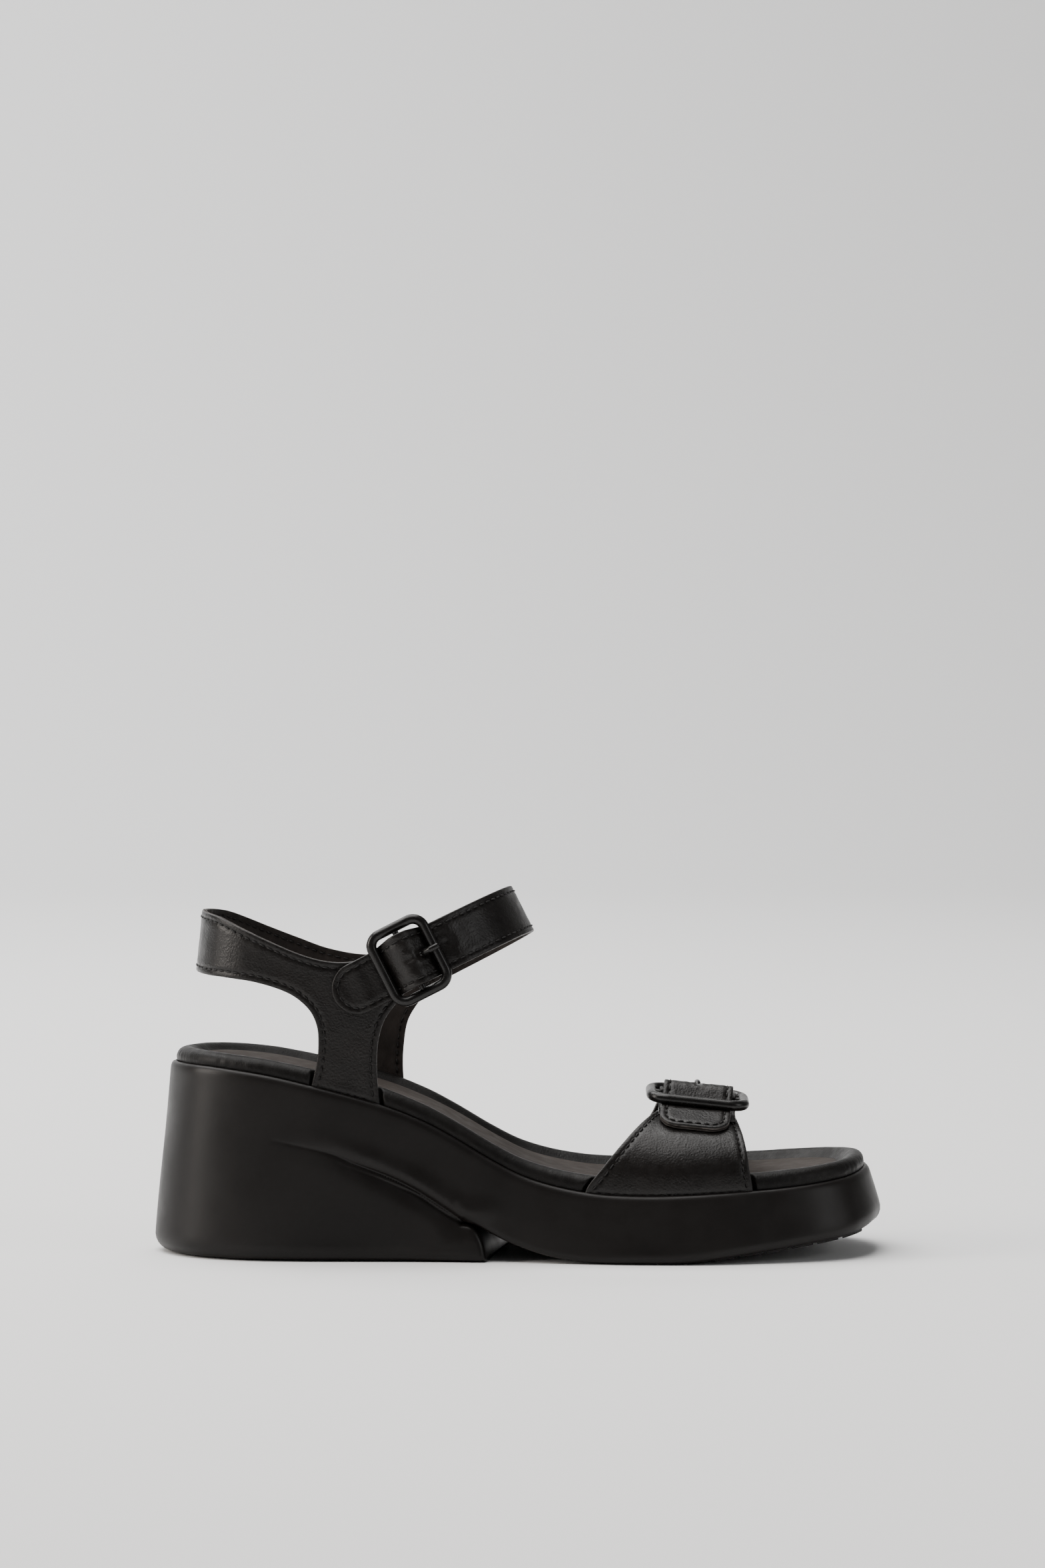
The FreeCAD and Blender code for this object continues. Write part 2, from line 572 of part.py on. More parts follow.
def hole(frame, a, w, n, out, radius):
    """A punched hole: a short cylinder through the strap at one place, along its outward direction."""
    c = Part.makeCylinder(radius, 8, Vector(a, w, n) - Vector(out) * 4, Vector(out))
    c.Placement = frame
    return c


# ---------------------------------------------------------------- ankle strap
A_ORIGIN = at(90.5, -32.75, 103)
A_ALONG = Vector(0.891, 0, 0.454)
A_IN = Vector(0, 1, -0.0937)
ankle = local_frame(A_ORIGIN, A_ALONG, A_IN * -1)
A_PIN = size("ankle_pin_radius")
A_LEVEL = size("chape_leather") + GAP * 2 + STRAP + size("ankle_rod_radius") + 0.15
A_PIN_CLEAR = A_PIN + PRONG_PLAY + 2 * size("ankle_loop_radius") + 0.18
A_BAR_CLEAR = size("ankle_rod_radius") + STRAP + PRONG_PLAY
A_SHIFT = 0.5
ankle_path = [(-29, 0.15), (-26.4, 0.15), (-23.6, 0.2), (-20.8, 0.65), (-18.4, 1.12), (-15.5, 1.14)]
ankle_path += threaded(size("ankle_frame_reach"), A_PIN_CLEAR, A_BAR_CLEAR, A_LEVEL)
ankle_path += [(15.6, 1), (19.6, -0.9), (24.5, -3.7), (30, -8), (35, -13.8), (39, -21.2), (41.2, -29.6),
               (41.4, -38), (39.4, -45.9), (35.4, -53), (29.8, -58.8), (22.8, -63.1), (15.5, -65.7), (9, -66.8),
               (3, -67), (-3, -67), (-9, -67)]
A_HALF = size("ankle_strap_wide") / 2
ankle_keep = rounded_end(ankle, -29, A_HALF, 200, A_HALF, 90)
ankle_prong_room = prong_shape("ankle", 0.3)
ankle_prong_room.Placement = ankle.multiply(Placement(Vector(0, A_SHIFT, A_LEVEL), Rotation()))
ANKLE_HOLES = [(0, A_LEVEL + A_PIN_CLEAR, (0, 0, 1)), (13.6, 1.6, (0.22, 0, 0.97))]


def ankle_layer(near, far):
    piece = band(ankle, ankle_path, near, far, 2 * A_HALF).common(ankle_keep)
    piece = piece.cut(ankle_prong_room)
    for a, n, out in ANKLE_HOLES:
        piece = piece.cut(hole(ankle, a, A_SHIFT, n, out, size("hole_radius")))
    return piece


ankle_strap_outer = feature("ankle_strap_outer", ankle_layer(LINING, STRAP))
ankle_strap_lining = feature("ankle_strap_lining", ankle_layer(0, LINING))
A_THICK = size("chape_leather")
A_LOOP = A_PIN + GAP
ankle_leg = [(0, A_LEVEL - A_LOOP - A_THICK), (-1.5, A_LEVEL - A_LOOP - A_THICK - 0.15), (-3.4, 1.15),
             (-5.4, 0.35), (-7.5, 0.1), (-11, 0.06), (-17, 0.06)]
ankle_chape = feature("ankle_chape", chape_shape(ankle, "ankle", A_LEVEL, 15, 2.6, ankle_leg[::-1], A_SHIFT))
pin_frame("ankle_buckle_frame", ankle, "ankle", A_LEVEL, A_SHIFT)
ankle_prong = feature("ankle_prong", prong_shape("ankle"))
ankle_prong.Placement = ankle.multiply(Placement(Vector(0, A_SHIFT, A_LEVEL), Rotation()))

# ---------------------------------------------------------------- forefoot upper
V_TILT = math.radians(5.6)
V_DROP = 0.108
V_ORIGIN = at(190, -7, 54.15)
V_ALONG = Vector(0, math.cos(V_TILT), math.sin(V_TILT))
V_OUT = Vector(V_DROP, -math.sin(V_TILT), math.cos(V_TILT))
vamp = local_frame(V_ORIGIN, V_ALONG, V_OUT)
V_PIN = size("vamp_pin_radius")
V_PIN_CLEAR = V_PIN + PRONG_PLAY + 2 * size("vamp_loop_radius") + 0.18
V_BAR_CLEAR = size("vamp_rod_radius") + STRAP + PRONG_PLAY
V_LEVEL = 0
V_HALF = size("vamp_strap_wide") / 2
V_THICK = size("chape_leather")
V_LOOP = V_PIN + GAP

# Outer face of the arch over the foot, (y, z) at the buckle's station, outer side then inner side.
ARCH_OUTER = [(-40.75, 18), (-40.8, 22), (-41.1, 27), (-40.2, 32.5), (-37.4, 37.6), (-33, 41.8), (-27.6, 44.9),
              (-22, 46.9), (-16.6, 48.1), (-12.6, 48.7)]
ARCH_INNER = [(40.9, 18), (41, 22), (41.3, 27), (40.4, 32.6), (37.8, 38.2), (33.4, 43.2), (27.8, 47.2),
              (21.6, 49.9), (15.2, 51.2), (10, 51.6)]
BUCKLE_STATION = 190


def side_edge(station, sign):
    """How far out the footbed's edge lies at a station, on one side."""
    pts = [(p.x - HEEL_X, p.y) for p in EDGE if p.y * sign > 0 and 100 < p.x - HEEL_X < 250]
    return abs(smooth(sorted(pts), station))


def arch_section(station, table, sign, near, far):
    ratio = (side_edge(station, sign) - 1.75) / (side_edge(BUCKLE_STATION, sign) - 1.75)
    lift = top_line(station) - top_line(BUCKLE_STATION)
    pts = []
    for y, z in table:
        up = min(max((z - 27) / 20, 0), 1)
        edge = max(0.0, (abs(y) - 20) / 21.6)
        drop = -V_DROP * (station - BUCKLE_STATION)
        pts.append(at(station, y * (1 + (ratio - 1) * min(edge, 1)), z + lift * (1 - up) + drop * up))
    if sign > 0:
        near, far = -near, -far
    return sheet_wire(pts, near, far, Vector(1, 0, 0))


def arch_sheet(table, sign, near, far):
    return Part.makeLoft([arch_section(s, table, sign, near, far)
                          for s in (144, 156, 168, 180, 192, 204, 216)], True, False)


VAMP_OUTER_SIDE = [[(149.2, 14), (149.7, 21), (151.1, 26), (155.2, 31.3), (161.6, 39.2), (167.6, 45.3),
                    (172.4, 48.8), (176.4, 50.6)], [(176.4, 50.6), (176.4, 60)], [(176.4, 60), (203.4, 60)],
                   [(203.4, 60), (203.4, 47)],
                   [(203.4, 47), (204.8, 43.8), (206, 38.6), (206.9, 32), (208, 26), (208.6, 20), (209, 14)]]
VAMP_INNER_SIDE = [[(158.6, 14), (159.2, 21), (161, 26), (165.4, 31.3), (171.4, 39.4), (175, 45),
                    (176.8, 50), (177.4, 53)], [(177.4, 53), (177.4, 62)], [(177.4, 62), (203, 62)],
                   [(203, 62), (203, 50)],
                   [(203, 50), (204.8, 44), (206, 38.6), (206.9, 32), (208, 26), (208.6, 20), (209, 14)]]


def vamp_panel(table, sign, outline, layer):
    """One side of the forefoot upper: a curved wall and the edge turned in under the insole board."""
    if layer == "outer":
        near, far, low, high, turn = 0, OUTER, LAYER_LOW, SPLIT, VAMP_TURN[0]
    else:
        near, far, low, high, turn = OUTER, STRAP, SPLIT, SPLIT + LINING, VAMP_TURN[1]
    wall = arch_sheet(table, sign, near, far)
    wall = wall.common(outline_prism(outline, -60, 60)).common(wall_floor(low))
    flange = layer_solid(low, high, turn, FLANGE_IN, 151.5 if sign < 0 else 160.5, 207.5, sign)
    return wall.fuse(flange).removeSplitter()


vamp_lateral_outer = feature("vamp_lateral_outer", vamp_panel(ARCH_OUTER, -1, VAMP_OUTER_SIDE, "outer"))
vamp_lateral_lining = feature("vamp_lateral_lining", vamp_panel(ARCH_OUTER, -1, VAMP_OUTER_SIDE, "lining"))
vamp_medial_outer = feature("vamp_medial_outer", vamp_panel(ARCH_INNER, 1, VAMP_INNER_SIDE, "outer"))
vamp_medial_lining = feature("vamp_medial_lining", vamp_panel(ARCH_INNER, 1, VAMP_INNER_SIDE, "lining"))


def vamp_local(y, z):
    """(y, z) at the buckle's station, as (along, out) in the buckle's frame."""
    p = vamp.inverse().multVec(at(BUCKLE_STATION, y, z))
    return (p.x, p.z)


vamp_tail = [vamp_local(y, z) for y, z in ((-27.6, 45.1), (-25.6, 46.0), (-23.4, 47.15), (-20.6, 48.55))]
vamp_root = [vamp_local(y, z) for y, z in ((7.2, 51.9), (10.4, 52.15), (15.3, 51.55), (21.8, 50.25), (25.2, 48.9))]
vamp_path = vamp_tail + threaded(size("vamp_frame_reach"), V_PIN_CLEAR, V_BAR_CLEAR, V_LEVEL) + vamp_root
vamp_keep = rounded_end(vamp, vamp_tail[0][0] + 0.2, 5.5, 200, V_HALF, 60)
vamp_prong_room = prong_shape("vamp", 0.3)
vamp_prong_room.Placement = vamp


def vamp_layer(near, far):
    piece = band(vamp, vamp_path, near, far, 2 * V_HALF).common(vamp_keep)
    piece = piece.cut(vamp_prong_room)
    return piece.cut(hole(vamp, 0, 0, V_PIN_CLEAR, (0, 0, 1), size("hole_radius")))


vamp_strap_outer = feature("vamp_strap_outer", vamp_layer(LINING, STRAP))
vamp_strap_lining = feature("vamp_strap_lining", vamp_layer(0, LINING))
leg_low = [vamp_local(y, z) for y, z in ((-20.4, 47.4), (-18.6, 47.87), (-16.9, 48.2))]
vamp_leg = leg_low + [(-7.4, -4.6), (-5.2, -3.5), (-3.4, -2.75), (-1.6, -V_LOOP - V_THICK - 0.1),
                      (0, -V_LOOP - V_THICK)]
vamp_chape = feature("vamp_chape", chape_shape(vamp, "vamp", V_LEVEL, 26.8, 2.9, vamp_leg))
pin_frame("vamp_buckle_frame", vamp, "vamp", V_LEVEL, 0)
vamp_prong = feature("vamp_prong", prong_shape("vamp"))
vamp_prong.Placement = vamp

# ---------------------------------------------------------------- padded rim, notched behind the straps
rim_block = boolean("Cut", "rim_block", gather("MultiCommon", "rim_disc", [
    slab("rim_slab", 0, RIM), prism("rim_prism", plan(size("rim_inset")))]), prism("rim_void", plan(RIM_IN)))
doc.recompute()
notches = [Part.makeBox(26.6, 20, 40, at(54.6, -50.4, 40)), Part.makeBox(27.4, 20, 40, at(60.6, 30.4, 40))]
for table, sign in ((ARCH_OUTER, -1), (ARCH_INNER, 1)):
    wall = arch_sheet(table, sign, -14, STRAP + GAP)
    notches.append(wall.common(Part.makeBox(60.6, 140, 40, at(149, -70, 10))))
notch = feature("rim_notches", notches[0].fuse(notches[1:]))

PARTS = ["wedge_sole", "heel_tread", "forefoot_tread", "insole_board", "steel_shank", "shank_rivets",
         "bottom_filler", "footbed_foam", "sock_lining", "footbed_rim",
         "quarter_outer", "quarter_lining", "ankle_strap_outer", "ankle_strap_lining", "ankle_chape",
         "ankle_buckle_frame", "ankle_prong", "vamp_lateral_outer", "vamp_lateral_lining",
         "vamp_medial_outer", "vamp_medial_lining", "vamp_strap_outer", "vamp_strap_lining", "vamp_chape",
         "vamp_buckle_frame", "vamp_prong"]
boolean("Cut", "footbed_rim", rim_block, notch)
doc.recompute()

for obj in doc.Objects:
    if "Invalid" in obj.State or "Error" in obj.State:
        raise RuntimeError("%s: %s" % (obj.Name, obj.State))
os.makedirs("parts", exist_ok=True)
for name in PARTS:
    obj = doc.getObject(name)
    shape = obj.Shape
    if shape.isNull() or not shape.isValid():
        raise RuntimeError("%s has no valid shape" % name)
    b = shape.BoundBox
    print("%-22s solids %d volume %9.1f  x %.1f..%.1f y %.1f..%.1f z %.1f..%.1f" % (
        name, len(shape.Solids), shape.Volume, b.XMin, b.XMax, b.YMin, b.YMax, b.ZMin, b.ZMax))
    shape.exportStep("parts/%s.step" % name)
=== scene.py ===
import json
import math
import bmesh
import bpy
import numpy as np
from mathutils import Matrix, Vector
from mathutils.geometry import delaunay_2d_cdt


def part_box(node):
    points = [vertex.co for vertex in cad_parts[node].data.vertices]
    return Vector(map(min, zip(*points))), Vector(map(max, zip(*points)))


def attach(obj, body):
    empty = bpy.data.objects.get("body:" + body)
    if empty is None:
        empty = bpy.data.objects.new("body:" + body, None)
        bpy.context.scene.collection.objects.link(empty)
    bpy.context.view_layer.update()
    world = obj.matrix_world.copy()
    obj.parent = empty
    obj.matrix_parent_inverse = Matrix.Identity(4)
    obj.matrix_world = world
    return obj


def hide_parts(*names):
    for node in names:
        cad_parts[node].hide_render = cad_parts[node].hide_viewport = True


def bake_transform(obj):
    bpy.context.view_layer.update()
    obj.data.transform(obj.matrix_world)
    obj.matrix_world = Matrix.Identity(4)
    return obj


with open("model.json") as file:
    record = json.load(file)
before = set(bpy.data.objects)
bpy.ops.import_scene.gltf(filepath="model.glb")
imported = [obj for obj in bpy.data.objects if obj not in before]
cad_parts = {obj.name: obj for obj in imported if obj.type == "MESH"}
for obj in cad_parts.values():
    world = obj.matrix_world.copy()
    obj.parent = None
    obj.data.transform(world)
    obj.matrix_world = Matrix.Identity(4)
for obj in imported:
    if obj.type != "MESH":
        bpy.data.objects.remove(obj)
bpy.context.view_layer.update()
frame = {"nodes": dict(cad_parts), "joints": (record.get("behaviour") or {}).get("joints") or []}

# Wedge sandal, right foot. Shapes are worked out in millimetres in the frame of the CAD model, and a
# "station" is a distance forward of the heel's back. Meshes are made in metres.
MM = 0.001
SOLE_LOW, SOLE_HIGH = (np.array(corner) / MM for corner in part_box("wedge_sole"))
HEEL_X = SOLE_LOW[0]
JOINTS = {joint["name"]: joint for joint in frame["joints"]}

# Leather thicknesses, as in the CAD sheets.
OUTER, LINING = 1.1, 0.7
STRAP = OUTER + LINING
# A hair's gap between the faces of two layers.
LAYER_GAP = 0.02

# Station and height of the line where the footbed meets the sole, and of the sole's underside.
TOP_LINE = [(-6, 66.6), (6, 66.5), (21, 66.2), (39, 64.1), (56.6, 60.3), (80.3, 53.9), (93.4, 48.9),
            (104, 43.5), (118, 35.2), (128.5, 29.9), (139, 26.6), (151.3, 24.3), (163.5, 23.4),
            (179.1, 23.4), (205.4, 24.6), (223.2, 25.8), (241.7, 27.8), (250, 29.6), (262, 32.6)]
# The treads hold the flat parts of the underside this far off the ground.
FLOOR = 0.4
FLOOR_LINE = [(-6, FLOOR), (60, FLOOR), (120, FLOOR), (170, FLOOR), (186, 0.7), (205.4, 3), (223.2, 5.3),
              (241.7, 7.6), (250, 9.2), (262, 12.5)]
# Widest outline of the sole: station, y, and how far its wall leans in over LEAN_HEIGHT.
OUTLINE = [(255, 6, 17), (253.6, -7, 17), (249, -19.5, 17), (241, -29.5, 17), (229, -37.5, 15),
           (212, -43.5, 14), (190, -46.8, 12.5), (168, -46.2, 11), (146, -43.2, 9), (122, -39.8, 6),
           (98, -38, 4.5), (74, -37.4, 3.6), (50, -36.9, 3.6), (30, -33.6, 4), (14, -25.8, 5.5),
           (4, -14, 6.8), (0, 0, 6.8), (4, 14, 6.8), (14, 25.8, 5.5), (30, 33.4, 4), (50, 36.9, 3.6),
           (74, 37.4, 3.6), (98, 37.6, 4.5), (122, 38.2, 6), (146, 41, 9), (168, 45, 11), (190, 47.2, 12.5),
           (212, 47, 14), (229, 43.8, 15), (241, 37.4, 17), (249.5, 27.8, 17), (253.8, 17.4, 17)]
LEAN_HEIGHT = 72
# Where the height of a point depends on its own station, the search for it starts here.
MID_HEIGHT = 45
LATERAL, MEDIAL = -1, 1


# ---------------------------------------------------------------- curves
def hermite(t, w, a, b, slope_a, slope_b):
    """Cubic from a to b with the given slopes, at t from 0 to 1 across a width w."""
    return ((2 * t**3 - 3 * t**2 + 1) * a + (t**3 - 2 * t**2 + t) * w * slope_a
            + (3 * t**2 - 2 * t**3) * b + (t**3 - t**2) * w * slope_b)


def smooth(table, x):
    """Height of a smooth curve through a table of (station, height), at one or many stations."""
    xs, ys = (np.array(column, float) for column in zip(*table))
    slope = np.gradient(ys, xs)
    slope[1:-1] = (ys[2:] - ys[:-2]) / (xs[2:] - xs[:-2])
    x = np.asarray(x, float)
    i = np.clip(np.searchsorted(xs, x) - 1, 0, len(xs) - 2)
    w = xs[i + 1] - xs[i]
    return hermite((x - xs[i]) / w, w, ys[i], ys[i + 1], slope[i], slope[i + 1])


def top_line(station):
    return smooth(TOP_LINE, station)


def lengths(points):
    """Distance along a polyline at each of its points."""
    return np.concatenate([[0], np.cumsum(np.linalg.norm(np.diff(points, axis=0), axis=1))])


def resample(points, step, closed=False):
    """The same polyline with evenly spaced points, about step apart."""
    points = np.asarray(points, float)
    if closed:
        points = np.vstack([points, points[:1]])
    far = lengths(points)
    count = max(int(round(far[-1] / step)), 2)
    at = np.linspace(0, far[-1], count + 1)
    even = np.column_stack([np.interp(at, far, column) for column in points.T])
    return even[:-1] if closed else even


def spline(points, step=0.25, closed=False):
    """Smooth curve through points, as a fine even polyline."""
    p = np.asarray(points, float)
    if closed:
        p = np.vstack([p[-2:], p, p[:3]])
    t = lengths(p)
    slope = np.empty_like(p)
    for k in range(len(p)):
        a, b = max(k - 1, 0), min(k + 1, len(p) - 1)
        slope[k] = (p[b] - p[a]) / (t[b] - t[a])
    out = []
    first, last = (2, len(p) - 3) if closed else (0, len(p) - 1)
    for k in range(first, last):
        w = t[k + 1] - t[k]
        s = np.linspace(0, 1, max(int(w / step * 2), 4), endpoint=False)[:, None]
        out.append(hermite(s, w, p[k], p[k + 1], slope[k], slope[k + 1]))
    curve = np.vstack(out + ([] if closed else [p[-1:]]))
    return resample(curve, step, closed)


def left_of(steps):
    """Unit vectors to the left of flat steps."""
    return np.column_stack([-steps[:, 1], steps[:, 0]]) / np.linalg.norm(steps, axis=1)[:, None]


def bump(x, centre, width):
    """A bell of height 1."""
    return np.exp(-((x - centre) / width) ** 2)


def step_up(x, low, high):
    """A smooth rise from 0 at low to 1 at high."""
    t = np.clip((x - low) / (high - low), 0, 1)
    return t * t * (3 - 2 * t)


def waves(x, y, seed, size):
    """Soft irregular height between about -1 and 1, made of a few crossing waves."""
    total = 0
    for k in range(5):
        turn = 2.4 * (seed + 1) + 1.9 * k
        pitch = size * (0.62 + 0.21 * k)
        far = x * math.cos(turn) + y * math.sin(turn)
        total = total + np.sin(far * 2 * math.pi / pitch + seed * 7.3 + 2.1 * k)
    return total / 3


# ---------------------------------------------------------------- meshes
def mesh_object(name, verts, faces, materials, index=None, weld=0):
    """A smooth-shaded object from millimetre points. weld joins points that are closer than that."""
    mesh = bpy.data.meshes.new(name)
    mesh.from_pydata((np.asarray(verts) * MM).tolist(), [], [list(map(int, f)) for f in faces])
    for m in materials:
        mesh.materials.append(m)
    if index is not None:
        mesh.polygons.foreach_set("material_index", np.asarray(index, np.int32))
    if weld:
        b = bmesh.new()
        b.from_mesh(mesh)
        bmesh.ops.remove_doubles(b, verts=b.verts, dist=weld * MM)
        bmesh.ops.dissolve_degenerate(b, edges=b.edges, dist=1e-7)
        bmesh.ops.recalc_face_normals(b, faces=b.faces)
        b.to_mesh(mesh)
        b.free()
    mesh.validate()
    mesh.polygons.foreach_set("use_smooth", [True] * len(mesh.polygons))
    mesh.update()
    obj = bpy.data.objects.new(name, mesh)
    bpy.context.scene.collection.objects.link(obj)
    return obj


def grid_faces(rows, columns, wrap=False):
    """Quads of a grid of points stored row by row; wrap joins the last column to the first."""
    faces = []
    for i in range(rows - 1):
        for j in range(columns if wrap else columns - 1):
            k = (j + 1) % columns
            faces.append((i * columns + j, i * columns + k, (i + 1) * columns + k, (i + 1) * columns + j))
    return faces


def edge_distance(points, edge, closed=True):
    """Distance of each point from a polyline, and how far along it the nearest place is."""
    a = edge
    b = np.roll(edge, -1, axis=0) if closed else np.vstack([edge[1:], edge[-1:]])
    seg = b - a
    size2 = np.maximum((seg**2).sum(1), 1e-12)
    start = np.concatenate([[0], np.cumsum(np.sqrt(size2))[:-1]])
    best, where = np.full(len(points), 1e9), np.zeros(len(points))
    for low in range(0, len(points), 2000):
        p = points[low:low + 2000, None, :]
        t = np.clip(((p - a) * seg).sum(2) / size2, 0, 1)
        d = np.linalg.norm(p - (a + t[..., None] * seg), axis=2)
        k = d.argmin(1)
        r = np.arange(len(k))
        best[low:low + 2000] = d[r, k]
        where[low:low + 2000] = start[k] + t[r, k] * np.sqrt(size2[k])
    return best, where


def inside(points, polygon):
    """Which points lie inside a closed polygon."""
    x, y = points[:, 0], points[:, 1]
    hit = np.zeros(len(points), bool)
    for (x0, y0), (x1, y1) in zip(polygon, np.roll(polygon, -1, axis=0)):
        if y0 == y1:
            continue
        crosses = (y0 > y) != (y1 > y)
        hit ^= crosses & (x < (x1 - x0) * (y - y0) / (y1 - y0) + x0)
    return hit


def inward(edge, distance):
    """A closed outline moved towards its inside."""
    n = left_of(np.roll(edge, -1, axis=0) - np.roll(edge, 1, axis=0))
    area = np.sum(edge[:, 0] * np.roll(edge[:, 1], -1) - np.roll(edge[:, 0], -1) * edge[:, 1])
    return edge + n * distance * (1 if area > 0 else -1)


def triangulate(edge, cell, depths, holes=(), extra=()):
    """Triangles that fill an outline: rows of points beside its edge and a hexagonal grid inside."""
    loops = [edge] + list(holes)
    rows = []
    for depth in depths:
        ring = inward(edge, depth)
        d, _ = edge_distance(ring, edge)
        rows.append(ring[(d > 0.93 * depth) & inside(ring, edge)])
    low, high = edge.min(0), edge.max(0)
    xs = np.arange(low[0], high[0], cell)
    ys = np.arange(low[1], high[1], cell * 0.866)
    gx, gy = np.meshgrid(xs, ys)
    gx = gx + (np.arange(len(ys)) % 2)[:, None] * cell / 2
    grid = np.column_stack([gx.ravel(), gy.ravel()])
    d, _ = edge_distance(grid, edge)
    grid = grid[(d > (depths[-1] if depths else 0) + 0.6 * cell) & inside(grid, edge)]
    if len(extra):
        extra = extra[inside(extra, edge)]
        d, _ = edge_distance(extra, edge)
        extra = extra[d > 0.3]
        grid = grid[apart(grid, extra) > 0.6 * cell]
        rows.append(extra)
    inner = np.vstack(rows + [grid])
    for loop in holes:
        d, _ = edge_distance(inner, loop)
        inner = inner[(d > 0.25) & ~inside(inner, loop)]
    points, edges = [], []
    for loop in loops:
        start = len(points)
        points += loop.tolist()
        edges += [(start + k, start + (k + 1) % len(loop)) for k in range(len(loop))]
    points += inner.tolist()
    out = delaunay_2d_cdt([Vector(p) for p in points], edges, [], 4 if holes else 1, 1e-6)
    return np.array([tuple(v) for v in out[0]]), out[2]


def apart(points, others):
    """Distance of each point from the nearest of some other points."""
    out = np.empty(len(points))
    for low in range(0, len(points), 500):
        gap = points[low:low + 500, None, :] - others[None]
        out[low:low + 500] = np.sqrt((gap**2).sum(2).min(1))
    return out


def slot_ring(x, y, r, reach=0.0):
    """Outline of a punched hole, or of a hole stretched to one side."""
    t = np.linspace(-math.pi / 2, 1.5 * math.pi, 24, endpoint=False)
    return np.column_stack([x + r * np.cos(t) + np.where(np.cos(t) > 0, reach, 0), y + r * np.sin(t)])


def rounded(d, r):
    """How far a rounded edge of radius r has dropped at distance d from the edge."""
    x = np.clip(1 - d / r, 0, 1)
    return r * (1 - np.sqrt(np.clip(1 - x * x, 0, 1)))


def border(faces):
    """Directed edges that only one face uses."""
    seen = {}
    for f in faces:
        for a, b in zip(f, list(f[1:]) + [f[0]]):
            seen[(a, b)] = True
    return [(a, b) for a, b in seen if (b, a) not in seen]


def normals_of(place, uv, sign):
    """Unit normals of a surface at flat points. sign is 1 or -1, and picks the side they point to."""
    h = 0.05
    du = place(uv + [h, 0]) - place(uv - [h, 0])
    dv = place(uv + [0, h]) - place(uv - [0, h])
    n = np.cross(du, dv) * sign
    return n / np.linalg.norm(n, axis=1)[:, None]


def leather(name, edge, place, sign, near, far, materials, holes=(), relief=None, under=None,
            soft=(0.45, 0.15), cell=1.2, depths=(0.12, 0.3, 0.55, 0.9, 1.35, 1.8, 2.15, 2.5, 3.0, 3.8)):
    """A cut piece of leather. edge is its outline in flat (u, v) millimetres, place takes flat points to the
    surface it lies on, and near and far are the distances of its two faces from there, along the normal.
    relief shapes the far face and under the near one. materials are the leather's and the cut edge's."""
    uv, faces = triangulate(edge, cell, depths, holes)
    d, s = edge_distance(uv, edge)
    for loop in holes:
        d = np.minimum(d, edge_distance(uv, loop)[0])
    base, n = place(uv), normals_of(place, uv, sign)
    high = far - rounded(d, soft[0])
    low = near + rounded(d, soft[1])
    if relief is not None:
        high = high + relief(uv, d, s)
    if under is not None:
        low = low - under(uv, d, s)
    count = len(uv)
    verts = np.vstack([base + n * high[:, None], base + n * low[:, None]])
    turn = sign > 0
    top = [f if turn else f[::-1] for f in faces]
    bottom = [[i + count for i in f[::-1]] for f in top]
    sides = [(b, a, a + count, b + count) for a, b in border(top)]
    index = [0] * (len(top) + len(bottom)) + [1] * len(sides)
    return mesh_object(name, verts, top + bottom + sides, materials, index)


def tubes(paths, radii, sides=6):
    """Round strands along many short paths, as one set of vertices and faces. paths is (n, k, 3)."""
    n, k, _ = paths.shape
    along = np.gradient(paths, axis=1)
    along /= np.linalg.norm(along, axis=2)[..., None]
    up = np.tile(np.array([0.13, 0.21, 0.97]), (n, k, 1))
    across = np.cross(along, up)
    across /= np.linalg.norm(across, axis=2)[..., None]
    up = np.cross(across, along)
    t = np.linspace(0, 2 * math.pi, sides, endpoint=False)
    r = np.asarray(radii)[None, :, None, None]
    cos, sin = (turned[None, None, :, None] for turned in (np.cos(t), np.sin(t)))
    ring = across[:, :, None, :] * cos + up[:, :, None, :] * sin
    verts = (paths[:, :, None, :] + ring * r).reshape(-1, 3)
    one = grid_faces(k, sides, wrap=True) + [range(sides)[::-1], range((k - 1) * sides, k * sides)]
    return verts, [[i * k * sides + corner for corner in f] for i in range(n) for f in one]


STITCH_PITCH, STITCH_INSET = 3.0, 2.1
# One stitch from hole to hole: how far along each of its points is, its lift off the face and its radius.
STITCH_ALONG = np.array([0.3, 0.55, 1.3, 2.05, 2.3])
STITCH_LIFT = np.array([-0.3, 0.0, 0.1, 0.0, -0.3])
STITCH_RADII = (0.2, 0.27, 0.29, 0.27, 0.2)


def stitching(name, edge, place, sign, faces_at, keep=None):
    """A row of stitches inside an outline. faces_at has the level of each face that shows them and the way
    out of it, and keep says whether a stitch at a flat point is sewn."""
    edge = resample(edge, 0.4, closed=True)
    row = inward(edge, STITCH_INSET)
    d, _ = edge_distance(row, edge)
    row = resample(row[d > 0.93 * STITCH_INSET], 0.2)
    far = lengths(row)
    paths = []
    for level, out in faces_at:
        for start in np.arange(1.0, far[-1] - STITCH_PITCH, STITCH_PITCH):
            uv = np.column_stack([np.interp(start + STITCH_ALONG, far, c) for c in row.T])
            if lengths(uv)[-1] > STITCH_PITCH or (keep is not None and not keep(uv[2])):
                continue
            lift = level + out * STITCH_LIFT
            paths.append(place(uv) + normals_of(place, uv, sign) * lift[:, None])
    verts, faces = tubes(np.array(paths), STITCH_RADII)
    obj = mesh_object(name, verts, faces, [THREAD])
    return obj


